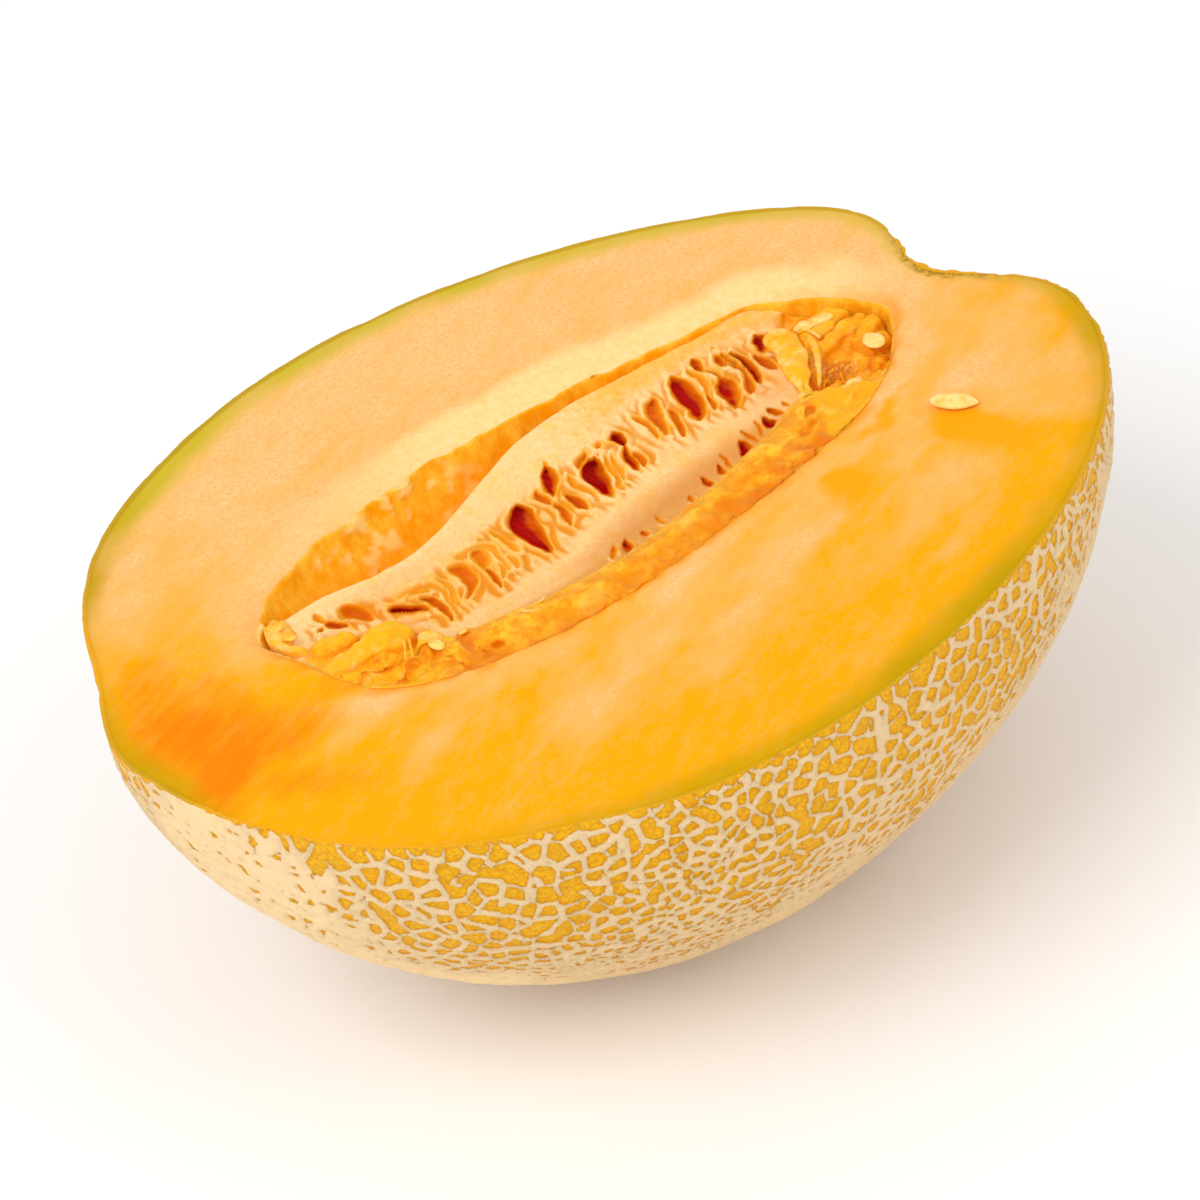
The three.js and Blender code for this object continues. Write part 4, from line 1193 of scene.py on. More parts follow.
def flesh_material():
    finish = Finish("flesh")
    mix, step, part, noise_at = finish.mix, finish.step, finish.part, finish.noise
    edge, near, orange, stem, band = finish.attributes("edge", "near", "orange", "stem", "band")
    wall, depth, beads, lip = finish.attributes("wall", "depth", "beads", "lip")
    deep, juice, green, green_reach = finish.attributes("deep", "juice", "green", "green_reach")
    fine = step(noise_at(0.8), 0.3, 0.7)
    middling = noise_at(3.4, place=finish.stretched((2, 1, 1), STREAK_LEAN))
    fibrous = noise_at(1.8, place=finish.stretched((4, 1, 1), 22))
    orange = finish.swung(finish.swung(orange, fine, 0.28), middling, 0.95, clamp=True)
    blot = part(finish.math("MULTIPLY_ADD", fibrous, 1.3, 0.35), deep)
    wisps = part(finish.math("MULTIPLY_ADD", middling, 1.2, 0.4), juice)
    # The green under the rind begins and ends at wandering distances from the edge
    inset = finish.math("ADD", edge, finish.math("MULTIPLY_ADD", noise_at(8, 4, 0.65), 3.2, -2.8))
    inset = finish.math("DIVIDE", inset, green_reach)
    threads = step(noise_at(3.0, place=finish.stretched((1, 1, 2))), 0.35, 0.7)
    wet = finish.under(
        mix(threads, (248, 164, 6), (255, 198, 60)),
        # Painted highlights: pale specks on the wall's beads
        (part(beads, 0.85), (255, 218, 136)),
        (step(depth, 5, 14, 0, 0.4), (242, 142, 0)),
    )
    shade = finish.under(
        # The orange deepens to the near edge partly by the flesh's own colour and partly as painted light
        mix(orange, mix(fine, (247, 178, 100), (255, 204, 142)), (251, 169, 0)),
        (step(blot, 0.05, 0.9, 0, 0.95), (240, 126, 0)),
        (part(band, 0.9), finish.mottled(1.3, 0.3, 0.7, (254, 208, 130), (255, 222, 158))),
        (step(wisps, 0.1, 0.8, 0, 0.95), (253, 164, 0)),
        # Deeper orange in the near rim's scallops: partly its own colour, partly painted shade in the
        # crease by the roll
        (part(lip, 0.7), (244, 150, 6)),
        (part(step(inset, 1.0, 0.1), green, clamp=True), mix(near, (206, 180, 46), (196, 154, 0))),
        (part(step(edge, 2.2, 1.2, 0, 0.6), green, clamp=True), (196, 152, 4)),
        (stem, mix(step(noise_at(1.2, 4, 0.75), 0.35, 0.65), (128, 98, 12), (226, 168, 54))),
        (wall, wet),
    )
    height = finish.math("MULTIPLY_ADD", fine, 0.4, part(noise_at(0.45, 2, 0.6), 0.5))
    gloss = finish.math("MAXIMUM", wall, part(juice, 0.5))
    finish.set(Base_Color=shade, Roughness=step(gloss, 0, 1, 0.6, 0.24))
    finish.set(Normal=finish.bump(height, 0.15, 0.5), Specular_IOR_Level=0.04)
    finish.set(Subsurface_Weight=part(wall, 0.25))
    finish.set(Subsurface_Radius=(1.0, 0.4, 0.12), Subsurface_Scale=0.0015)
    return finish.material


# Seed core


def core_edge(bearing):
    """Where the core's top meets the wall of the hollow."""
    rim = hollow_point(bearing, 1.0, CORE_CLEARANCE)
    far = through(FAR_EDGE_DEPTH, rim[..., 0])
    near = through(NEAR_EDGE_DEPTH, rim[..., 0])
    depth = np.maximum(np.where(np.sin(bearing) >= 0, far, near), CORE_LEAST_DEPTH)
    share = wall_share(depth, HOLLOW_DEPTH - CORE_CLEARANCE)
    flat = hollow_point(bearing, share, CORE_CLEARANCE)
    return np.concatenate([flat, -depth[..., None]], -1)


def fold_height(x, y, far, near):
    """Height of the folded core before its pockets, between its far and near edge points."""
    width = far[:, 1] - near[:, 1]
    least = LEAST_LINE_SPACING * width
    count = len(LINES_ALONG_CORE)
    knots = [near[:, 1]]
    values = [near[:, 2]]
    for i, line in enumerate(LINES_ALONG_CORE):
        rows = np.array(line, float)
        lowest = np.maximum(near[:, 1] + (i + 1) * least, knots[-1] + least)
        highest = far[:, 1] - (count - i + 1) * least
        place = through(rows[:, :2], x)
        knots.append(np.clip(place, lowest, np.maximum(highest, lowest)))
        values.append(through(rows[:, [0, 2]], x))
    knots.append(knots[-1] + (far[:, 1] - knots[-1]) * RIDGE_FOOT_ACROSS)
    values.append(values[-1] + (far[:, 2] - values[-1]) * RIDGE_FOOT_DOWN)
    knots.append(far[:, 1])
    values.append(far[:, 2])
    return through_knots(np.array(knots), np.array(values), y), knots


# Steps along each opening, and how far from it its places are worked out
SLIT_STEPS = 10
SLIT_REACH = 12
OUT_OF_REACH = 30.0


def slit_distance(seen, rows, softness):
    """Signed distance from the nearest opening's edge, negative inside, depth, and places across it.

    The places are shares of its half width, negative to the left, and lengths from its left or right edge.
    """
    nearest, beside = np.full((2, len(seen)), OUT_OF_REACH)
    depth, side = np.zeros((2, len(seen)))
    for row in rows:
        half_width, widest, deep = row[6:]
        course = bowed(np.array(row[:6]).reshape(3, 2), np.linspace(0, 1, SLIT_STEPS + 1))
        within = (seen > course.min(axis=0) - SLIT_REACH) & (seen < course.max(axis=0) + SLIT_REACH)
        close = np.flatnonzero(within.all(axis=1))
        here = seen[close]
        best = np.full(len(close), OUT_OF_REACH)
        at, aside = np.zeros((2, len(close)))
        for i in range(SLIT_STEPS):
            run = course[i + 1] - course[i]
            share = np.clip(((here - course[i]) @ run) / (run @ run), 0, 1)
            away = here - course[i] - share[:, None] * run
            gap = np.linalg.norm(away, axis=1)
            closer = gap < best
            best = np.where(closer, gap, best)
            at = np.where(closer, (i + share) / SLIT_STEPS, at)
            aside = np.where(closer, away[:, 0], aside)
        swing = np.where(at < widest, at / widest, (1 - at) / (1 - widest))
        local_width = half_width * np.sin(np.pi / 2 * swing) ** 0.75
        gap = best - local_width
        closer = gap < nearest[close]
        nearest[close] = np.where(closer, gap, nearest[close])
        side[close] = np.where(closer, aside / half_width, side[close])
        beside[close] = np.where(closer, np.abs(aside) - local_width, beside[close])
        # The floor of an opening slopes up gently on its right
        right = smooth_step(-0.5, 0.5, aside / half_width)
        outside = softness * (0.5 + 0.5 * right) + 0.7 * right * min(half_width / 1.5, 1)
        filled = smooth_step(outside, -(0.4 + 0.5 * right) * min(half_width, 1.6), gap)
        depth[close] = np.maximum(depth[close], deep * filled)
    return [nearest, depth, side, beside]


# Swollen places of the core, at its left end, along the strand across its right end and in the torn
# part: where the middle is seen, its height, half length, half width, fall to the edge, lean and hue,
# which runs from orange (0) over yellow (1) to cream (2)
SWELLINGS = [
    (-59.6, 12.0, -1.0, 4.8, 3.4, 2.0, 82, 1.25), (-60.8, 7.8, -1.2, 5.2, 1.2, 1.6, -63, 1.2),
    (-54.2, 2.6, -1.4, 4.2, 2.3, 1.8, -18, 0.8), (-46.6, -2.0, -0.5, 4.6, 3.6, 2.6, -8, 0.9),
    (-55.0, -2.8, -0.9, 8.0, 2.0, 1.4, 3, 1.0), (-44.2, -11.6, -0.7, 3.2, 1.4, 1.4, 75, 0.9),
    (-40.1, -12.4, -0.6, 3.0, 1.1, 1.4, 85, 1.1), (-42.2, -9.0, -0.7, 2.6, 1.2, 1.2, 0, 1.2),
    (-42.0, -15.6, -0.7, 2.4, 1.2, 1.4, 0, 0.8), (-37.2, -12.8, -0.8, 2.0, 2.4, 1.6, 0, 1.1),
    (-50.0, -8.2, -1.1, 3.4, 2.2, 1.6, -20, 0.5), (-47.2, -12.5, -1.2, 1.8, 2.0, 1.4, 0, 0.8),
    (-57.5, -7.0, -1.0, 3.0, 2.0, 1.4, -30, 0.8), (-34.0, -16.5, -0.4, 3.0, 2.2, 1.2, 0, 1.0),
    (-40.5, -18.2, -0.7, 2.2, 1.4, 1.2, 20, 0.8), (-45.5, -16.8, -0.8, 2.0, 1.6, 1.4, 0, 0.7),
    (-51.5, -15.0, -1.2, 2.4, 1.8, 1.2, 60, 0.5),
    (41.4, -3.4, -0.4, 3.2, 1.4, 1.4, 52, 1.4), (50.4, 9.0, -1.8, 6.0, 3.0, 1.4, 66, 0.7),
    (47.6, 3.0, -2.0, 4.6, 2.6, 1.4, 66, 0.7),
    (37.4, -5.5, -0.3, 3.8, 1.1, 1.2, 24, 1.9), (32.6, -7.0, -0.2, 3.6, 0.9, 1.0, 18, 1.9),
    (45.8, -6.6, -1.0, 3.0, 1.4, 1.4, 20, 1.8), (50.0, -4.8, -1.3, 2.0, 1.1, 1.2, 10, 1.6),
    (63.0, 6.4, -2.0, 5.4, 2.2, 0.9, 22, 0.7), (57.0, 8.2, -2.1, 7.0, 1.8, 0.6, 14, 0.95),
    (56.8, 13.0, -1.9, 6.4, 2.4, 0.6, 12, 1.05), (52.8, -8.0, -1.3, 3.0, 1.5, 1.4, 12, 0.7),
    (59.6, 1.6, -1.9, 3.4, 2.6, 1.4, 85, 0.5), (56.6, -4.0, -1.8, 3.0, 1.6, 1.4, 40, 0.2),
]
STEEP_SIDE = 5
SWELL_BLEND = 0.32

# Distances between the pleats and ribs of the folds, depth of the creases in the pulp at the near left
PLEAT_SPACING = 2.3
RIB_SPACING = 1.9
BOTTOM_SPACING = 1.25
CREASE_DEPTH = 1.7

# Shares of the way across at which the relief is full and the near edge no longer laps over the rim, how
# far it rises there for each step out, and rows of the plain underside
NEAR_FRINGE = 0.03
FAR_FRINGE = 0.04
LAP_END = 0.07
LAP_RISE = 0.75
CORE_UNDERSIDE_ROWS = 12


def swell(plan, base):
    """The base raised to the swellings that stand above it, how much they cover it, and their hue."""
    level = base.copy()
    cover, hue = np.zeros((2, len(plan)))
    flat = at_level(plan)
    warped = plan + 0.75 * noises(flat, 3.2, (141, 143)) + 0.2 * noises(flat, 1.2, (145, 147))
    for x, y, top, length, width, fall, lean, tint in SWELLINGS:
        reach = oval_reach(warped - [x, y] + SIGHT_SHIFT * top, length, width, lean)
        dome = top - fall * (1 - np.sqrt(1 - np.minimum(reach, 1) ** 2))
        dome -= STEEP_SIDE * width * np.maximum(reach - 1, 0)
        share = smooth_step(-0.3, 0.3, dome - level)
        hue += (tint - hue) * share
        cover = np.maximum(cover, share)
        level += SWELL_BLEND * np.log1p(np.exp(np.clip((dome - level) / SWELL_BLEND, -30, 30)))
    return level, cover, hue


def core_openings(spots):
    """Gap to the nearest opening, its depth, the places across it, and which points are off the roll."""
    warp = 0.3 * noises(spots.level, 3.4, (81, 83)) + 0.12 * noises(spots.level, 1.3, (85, 87))
    folds = slit_distance(spots.seen + warp, FOLD_SLITS, 0.45)
    walls = slit_distance(spots.seen + warp, WALL_SLITS, 0.35)
    pits = slit_distance(spots.seen + 3 * warp, ROLL_PITS, 1.8)
    # Crevices in the pulp at the near left
    creased = smooth_step(-33, -39, spots.seen_x) * smooth_step(-7, -10, spots.seen_y)
    uneven = noise(spots.level, 4.4, 123) + 0.25 * noise(spots.level, 1.4, 125)
    creased *= smooth_step(0.36, 0.0, np.abs(uneven))
    pits[1] = np.maximum(pits[1] * (0.9 + 0.6 * noise(spots.level, 1.8, 96)), CREASE_DEPTH * creased)
    in_folds = spots.past_spine > 0
    in_wall = ~in_folds & (spots.past_roll > SLITS_INSIDE_ROLL)
    gap, carve, side = (
        np.where(in_folds, fold, np.where(in_wall, wall, pit))
        for fold, wall, pit in zip(folds[:3], walls, pits)
    )
    return gap, carve, side, folds[3], in_folds | in_wall


def core_zones(spots):
    """Shares of the roll, the folds, the near wall, the torn end at the right and the pulp at the left."""
    seen_x, seen_y, level = spots.seen_x, spots.seen_y, spots.level
    roll = smooth_step(0.9, -0.6, spots.past_roll)
    folds = smooth_step(-1.0, 1.2, spots.past_spine) * smooth_step(2.0, -1.0, spots.past_shelf)
    wall = smooth_step(0.5, -1.5, spots.past_gutter) * (1 - roll)
    torn = smooth_step(-0.6, 1.2, seen_x - 43.6 - 0.4 * (seen_y - 1.8) + 0.6 * noise(level, 4, 89))
    torn *= smooth_step(2.5, -0.5, np.minimum(seen_y - 18.6, 57 - seen_x))
    pulp = smooth_step(-41, -46, seen_x + 0.5 * noise(level, 3, 92))
    pulp *= smooth_step(0, -2.5, seen_y + 1 - 3.5 * smooth_step(-46, -54, seen_x))
    return roll, folds, wall, torn, pulp


def core_amber(spots, gap, side, roll, fold_zone):
    """How amber the membranes between the openings are, most so on the right of each, their lit side:
    partly their own colour, partly painted shade and light.
    """
    to_right = smooth_step(-0.5, 1.0, side)
    amber = smooth_step(1.1 + 1.3 * to_right, 0.0, gap + 0.45 * noise(spots.level, 2.4, 94)) * fold_zone
    amber *= smooth_step(-62, -48, spots.seen_x) * (1 - roll)
    shelf = smooth_step(-2, 22, spots.x) * smooth_step(-1, 2, spots.past_shelf)
    curls = smooth_step(-52, -42, spots.seen_x) * smooth_step(6, -8, spots.seen_x) * fold_zone
    curls *= smooth_step(4.5, 1.5, gap)
    return np.maximum(np.maximum(amber, 0.6 * shelf), 0.5 * curls)


def core_relief(spots, gap, beside, amber, lean, fold_zone, wall_zone):
    """Lips round the openings, pleats that follow them, and ribs down the near wall."""
    lips = np.exp(-((gap - 0.55) / 0.4) ** 2)
    turning = 2 * math.pi * (beside - 0.4) / (PLEAT_SPACING + 0.5 * noise(spots.level, 7, 90))
    pleats = np.cos(turning + 1.6 * noise(spots.level, 3.5, 91))
    pleats *= smooth_step(4.5, 0.2, gap) * smooth_step(0.0, 0.5, gap)
    ribs = np.cos(2 * math.pi * lean / RIB_SPACING) * smooth_step(3.0, 0.6, gap)
    return fold_zone * (0.15 * lips + 0.3 * pleats - 0.25 * amber) + wall_zone * (0.2 * lips + 0.16 * ribs)


def roughened(relief, base, uneven, roll, torn, lump):
    """The relief with the lumps of the roll, the tears of the torn end and the rest's fine unevenness."""
    beads = smooth_step(0.5, 0.95, noise(base, 1.5, 97)) * smooth_step(0.0, 0.4, noise(base, 7, 99))
    relief = relief + roll * (0.34 * uneven + 0.3 * beads)
    relief += (1 - roll) * (0.14 * noise(base, 3.4, 105) + 0.05 * noise(base, 1.1, 107))
    relief += torn * (0.5 * noise(base, 3.4, 109) + 0.3 * noise(base, 1.5, 111, octaves=2) - 0.2)
    return relief * (1 - lump) + lump * (0.28 * noise(base, 2.4, 113) + 0.12 * noise(base, 1.0, 115))


def across_core(near, far, shares):
    """Plan points in rows, each row at a share of the way from the core's near edge to its far one."""
    return (near[:, :2] + (far - near)[:, :2] * shares[:, None, None]).reshape(-1, 2)


def add_core():
    bearing = np.arccos(np.clip(2 * np.arange(1, CORE_COLUMNS) / CORE_COLUMNS - 1, -1, 1))
    far, near = core_edge(bearing), core_edge(-bearing)
    rows = CORE_ROWS + 1
    shares = np.arange(rows) / CORE_ROWS
    plan = across_core(near, far, shares)
    x, y = plan.T
    fold, knots = fold_height(x, y, np.tile(far, (rows, 1)), np.tile(near, (rows, 1)))
    roll_edge, _, gutter, spine, _, shelf = knots[2:8]
    base = np.column_stack([plan, fold])
    seen = plan + SIGHT_SHIFT * fold[:, None]
    spots = SimpleNamespace(
        x=x, seen=seen, seen_x=seen[:, 0], seen_y=seen[:, 1], level=at_level(seen),
        past_roll=y - roll_edge, past_gutter=y - gutter, past_spine=y - spine, past_shelf=y - shelf,
    )
    gap, carve, side, beside, off_roll = core_openings(spots)
    roll, fold_zone, wall_zone, torn, pulp = core_zones(spots)
    amber = core_amber(spots, gap, side, roll, fold_zone)
    lean = spots.seen_x + 0.2 * spots.seen_y
    lean += 0.9 * noise(spots.level, 6, 93) + 0.3 * noise(spots.level, 2.0, 95)
    folded = core_relief(spots, gap, beside, amber, lean, fold_zone, wall_zone)
    raised, lump, hue = swell(plan, fold)
    lump *= 1 - roll * smooth_step(-30, -24, spots.seen_x) * smooth_step(28, 22, spots.seen_x)
    bottom = 0.4 * smooth_step(2.0, 3.5, carve) * np.cos(2 * math.pi * lean / BOTTOM_SPACING)
    carve = np.maximum(carve + bottom, 0) * (1 - 0.5 * torn)
    carve = np.where(off_roll, carve * (1 - lump), carve)
    uneven = noise(base, 4.4, 101) + 0.45 * noise(base, 1.9, 103)
    relief = roughened(folded, base, uneven, roll, torn, lump)
    across = np.repeat(shares, len(bearing))
    from_near = smooth_step(0, NEAR_FRINGE, across)
    fringe = from_near * smooth_step(0, FAR_FRINGE, 1 - across)
    carve *= fringe
    top = base.copy()
    top[:, 2] += relief * fringe + (raised - fold) * from_near
    top += (CARVED_SHARE * carve)[:, None] * SIGHT_LINE
    lowest = np.minimum(CORE_LEAST_THICKNESS - hollow_depth(plan, CORE_CLEARANCE), fold)
    top[:, 2] = np.maximum(top[:, 2], lowest)
    # The near edge of the core laps over the rim of the hollow
    lap = 0.75 + 0.6 * noise(spots.level, 2.6, 119) + 0.35 * noise(spots.level, 1.1, 121)
    lap = np.clip(lap, 0.1, 1.5) * smooth_step(LAP_END, 0.0, across)
    lap *= np.tile(smooth_step(2, 10, far[:, 1] - near[:, 1]), rows)
    top[:, :2] += lap[:, None] * unit(plan - HOLLOW_CENTRE)
    top[:, 2] += LAP_RISE * lap
    stringy = np.exp(-((spots.seen_x - 49.5) / 5.0) ** 2 - ((spots.seen_y + 1.4) / 3.0) ** 2)
    # Hem: deeper orange along the roll's near, lower edge, partly its own colour and partly painted shade
    hem = smooth_step(6.6, 0.8, y - np.tile(near[:, 1], rows) + 2.0 * noise(spots.level, 2.8, 117))
    hem *= 0.5 + sum(
        strength * smooth_step(low, high, x)
        for low, high, strength in ((-4, 20, 0.4), (28, 36, 0.2), (-32, -42, 0.4))
    )
    # Painted shade on the spine's near side down into the gutter, the trough between spine and roll
    painted_gutter_shade = smooth_step(-0.5, -4.5, spots.past_spine) * smooth_step(40, 30, spots.seen_x)
    values = {
        "carve": carve, "side": side, "roll": roll, "folds": folded, "zone": fold_zone + wall_zone,
        "torn": np.maximum(torn, pulp), "string": stringy * (1 - roll), "amber": amber,
        "gutter": painted_gutter_shade * (1 - roll), "lump": lump, "hue": hue, "hem": np.clip(hem, 0, 1),
        "uneven": uneven, "high": top[:, 2],
    }
    dressed(core_mesh(top, values, far, near), core_material(), "seed_core")


def core_mesh(top, values, far, near):
    """Closed mesh from the top's grid of rows by columns, its two tips and a plain underside."""
    columns = CORE_COLUMNS - 1
    grid = np.arange(len(top)).reshape(-1, columns)
    swing = math.pi * np.arange(1, CORE_UNDERSIDE_ROWS) / CORE_UNDERSIDE_ROWS
    plan = across_core(near, far, 0.5 - 0.5 * np.cos(swing))
    under = np.column_stack([plan, -hollow_depth(plan, CORE_CLEARANCE)])
    points = np.concatenate([top, under, core_edge(np.array([math.pi, 0.0]))])
    low = len(top) + np.arange(len(under)).reshape(-1, columns)
    low = np.concatenate([grid[:1], low, grid[-1:]])
    left, right = len(points) - 2, len(points) - 1
    found = []
    for layer, outward in ((grid, True), (low, False)):
        a, b, c, d = layer[:-1, :-1], layer[:-1, 1:], layer[1:, 1:], layer[1:, :-1]
        pairs = [(a, b, c), (a, c, d)] if outward else [(a, c, b), (a, d, c)]
        found += [np.stack([side.ravel() for side in pair], -1) for pair in pairs]
        for tip, end in ((left, layer[:, 0]), (right, layer[:, -1])):
            ahead = (tip == left) == outward
            first, second = (end[:-1], end[1:]) if ahead else (end[1:], end[:-1])
            found.append(np.stack([np.full(len(first), tip), first, second], -1))
    padded = {key: np.pad(column, (0, len(points) - len(column))) for key, column in values.items()}
    return mesh_object("core", points, np.concatenate(found), padded)


def core_material():
    finish = Finish("core")
    mix, step, part, noise_at, mottled = finish.mix, finish.step, finish.part, finish.noise, finish.mottled
    carve, side, roll, folds, zone = finish.attributes("carve", "side", "roll", "folds", "zone")
    torn, string, high, gutter, amber = finish.attributes("torn", "string", "high", "gutter", "amber")
    lump, hue, hem, uneven = finish.attributes("lump", "hue", "hem", "uneven")
    fine = step(noise_at(0.8, 4, 0.65), 0.3, 0.7)
    amber = finish.swung(amber, noise_at(1.5, 4, 0.6), 1.2)
    hue = finish.swung(hue, noise_at(1.8), 2.4)
    cream = finish.under(
        mix(fine, (250, 202, 130), (254, 216, 154)),
        (step(noise_at(5, 4, 0.65), 0.48, 0.7, 0, 0.6), (253, 198, 92)),
        (step(noise_at(1.7), 0.56, 0.68, 0, 0.5), (252, 192, 84)),
        # Painted shade: tan in the gutter between the spine and the roll
        (part(gutter, 0.8), (222, 152, 68)),
        # Amber round the openings: partly the membranes' own colour, partly painted shade and light
        (step(amber, 0.15, 0.75, 0, 0.85), (250, 182, 62)),
        # Painted shade in the valleys of the folds' relief and painted highlights on its crests
        (part(step(folds, 0.1, -0.3), part(zone, 0.95)), (232, 148, 28)),
        (step(folds, 0.1, 0.35, 0, 0.7), (255, 214, 140)),
        # Deeper in an opening the colour goes amber, brown and red: partly the pockets' own colour, partly
        # painted shade; in the deepest, painted shade on the left inner side and painted light on the right
        (step(carve, 0.1, 0.7), (246, 168, 30)),
        (step(carve, 0.6, 1.6), (230, 132, 12)),
        (step(carve, 1.8, 3.2), (220, 98, 4)),
        (step(carve, 3.0, 4.0), mix(step(side, 0.7, 0.1), (232, 104, 4), (184, 10, 0))),
    )
    ochre = finish.under(
        mottled(2.2, 0.35, 0.65, (240, 150, 6), (255, 194, 46)),
        # Painted shade in the roll's dips and painted highlights on its crests, following its lumpy relief
        (step(uneven, -0.1, -0.9, 0, 0.6), (242, 146, 4)),
        (step(uneven, 0.6, 1.3, 0, 0.35), (255, 208, 96)),
        # Partly painted shade along the roll's near, lower edge
        (hem, (232, 122, 0)),
        # Pits of the roll darker the deeper they are: partly their own colour, partly painted shade
        (step(carve, 0.2, 1.8, 0, 0.8), (228, 116, 2)),
    )
    pulp = finish.under(
        mix(step(high, -6.5, -2.6), (240, 130, 0), (253, 176, 24)),
        (step(noise_at(2.2), 0.5, 0.68, 0, 0.7), (255, 202, 88)),
    )
    swollen = finish.under(
        mix(step(hue, -0.1, 0.9), (236, 126, 0), (254, 182, 22)),
        (step(hue, 0.9, 2.0), (253, 212, 136)),
        (step(high, -1.6, -3.6, 0, 0.75), (232, 122, 2)),
        # Darker the deeper it is carved: partly its own colour, partly painted shade
        (step(carve, 0.2, 1.8, 0, 0.75), (228, 116, 2)),
    )
    rust = mottled(0.9, 0.35, 0.65, (204, 90, 6), (250, 186, 96))
    rusty = step(string, 0.35, 0.75, 0, 0.8)
    shade = finish.under(cream, (roll, ochre), (torn, pulp), (lump, swollen), (rusty, rust))
    wet = finish.math("MAXIMUM", finish.math("MAXIMUM", roll, torn), lump)
    height = finish.math("MULTIPLY_ADD", fine, 0.5, part(noise_at(0.4, 2, 0.6), 0.5))
    finish.set(Base_Color=shade, Roughness=step(wet, 0, 1, 0.5, 0.22))
    finish.set(Normal=finish.bump(height, 0.14, 0.5), Specular_IOR_Level=0.1)
    finish.set(Subsurface_Weight=0.2, Subsurface_Radius=(1.0, 0.4, 0.12), Subsurface_Scale=0.0015)
    return finish.material


# Strands and seeds

# Small seeds at the core's near left: middle, half sizes, turn
SMALL_SEEDS = [
    (-41.6, -11.2, -0.75, 1.1, 1.8, 0.45, 10), (-58.6, 13.4, -1.05, 1.3, 0.9, 0.4, 0),
    (-58.2, 9.8, -1.3, 1.2, 0.7, 0.4, -30), (-36.6, -11.8, -0.6, 0.9, 0.5, 0.3, 0),
]
# The strand across the right end, its folds and loose fibres: three points, the radius at the start and
# at the end, flatness, hue
STRANDS = [
    (50.2, 17.2, -1.4, 47.0, 8.8, -0.8, 41.8, -3.4, -0.9, 3.4, 1.5, 0.4, 1.15),
    (53.6, 13.4, -1.8, 51.0, 7.0, -1.5, 45.8, -0.8, -1.7, 0.8, 0.5, 0.7, 1.2),
    (51.6, 9.0, -1.8, 50.2, 5.8, -1.7, 48.4, 3.0, -1.9, 0.4, 0.3, 0.7, 1.6),
    (52.4, 15.8, -1.4, 54.2, 13.8, -1.4, 54.6, 11.0, -1.9, 0.4, 0.3, 0.8, 1.7),
    (60.2, 14.8, -1.9, 56.4, 15.6, -1.6, 52.4, 15.4, -1.6, 1.2, 1.5, 0.3, 1.5),
    (-45.0, -6.0, -0.3, -46.2, -8.6, -0.2, -47.6, -10.8, -0.7, 0.22, 0.22, 0.8, 1.3),
    (-44.2, -6.4, -0.3, -45.2, -8.8, -0.2, -46.4, -11.2, -0.7, 0.2, 0.2, 0.8, 1.1),
    (-41.6, -2.2, -4.4, -40.2, -1.8, -4.2, -38.2, -2.2, -4.8, 0.7, 0.6, 0.8, 1.9),
    (-27.0, -15.4, 0.2, -26.0, -17.0, 0.4, -23.8, -17.8, 0.1, 0.25, 0.25, 0.8, 1.8),
    (-24.4, -15.2, 0.1, -23.4, -15.8, 0.2, -22.0, -15.0, 0.0, 0.22, 0.22, 0.8, 1.6),
]
# The seed in the torn end: tip, tail, width, thickness
RIGHT_SEED = ((60.8, 5.4, -1.5), (60.0, 0.0, -1.3), 3.8, 1.1)

# Sides and rings of a seed's mesh, and how lumpy the small ones are
SEED_SIDES = 28
SEED_RINGS = 18
SEED_LUMPS = 1.6
SEED_ROUGHNESS = 0.06

# The stringy fibres at the foot of the strand: how many, and where their middle lies
FIBRES = 40
FIBRES_MIDDLE = (50.2, 1.0, -2.2)
FIBRES_SPREAD = (2.8, 1.6, 0.4)


def seed_swings():
    """Angles from the tip to the tail at which a seed has its rings."""
    return math.pi * (np.arange(SEED_RINGS) + 0.5) / SEED_RINGS


def lean_ball(middle, half_sizes, degrees):
    """Points and triangles of a slightly lumpy flattened ball."""
    turn = turns(SEED_SIDES)
    around = np.column_stack([np.cos(turn), np.sin(turn)])
    rings = [at_level(math.sin(swing) * around, math.cos(swing)) for swing in seed_swings()]
    points, triangles = closed_from_rings(rings[::-1])
    points = (points * half_sizes) @ lean_matrix(-degrees) + middle
    lumpy = noise(points, SEED_LUMPS, 131) + 0.6 * noise(points, 3.2 * SEED_LUMPS, 133)
    lumpy *= SEED_ROUGHNESS * min(half_sizes)
    return points + lumpy[:, None] * unit(points - middle), triangles


def tube(row, sides=18, steps=40):
    """Points and triangles of a strand from one radius to another, rounded off at both ends."""
    first_radius, last_radius, flatness = row[9:12]
    part = (np.arange(steps) + 0.5) / steps
    course = bowed(np.array(row[:9]).reshape(3, 3), part)
    ahead = unit(np.gradient(course, axis=0))
    aside = unit(np.cross(ahead, [0, 0, 1]))
    above = np.cross(aside, ahead)
    radius = first_radius + (last_radius - first_radius) * part
    radius *= (1 - np.abs(2 * part - 1) ** 5) ** 0.5
    turn = turns(sides)[:, None]
    rings = [
        course[i] + radius[i] * (np.cos(turn) * aside[i] + flatness * np.sin(turn) * above[i])
        for i in range(steps)
    ]
    points, triangles = closed_from_rings(rings)
    ripple = noise(points, 1.2 * first_radius, 135) + 0.5 * noise(points, 0.5 * first_radius, 137)
    middle_line = np.concatenate([np.repeat(course, sides, axis=0), course[:1], course[-1:]])
    return points + (0.16 * first_radius * ripple)[:, None] * unit(points - middle_line), triangles


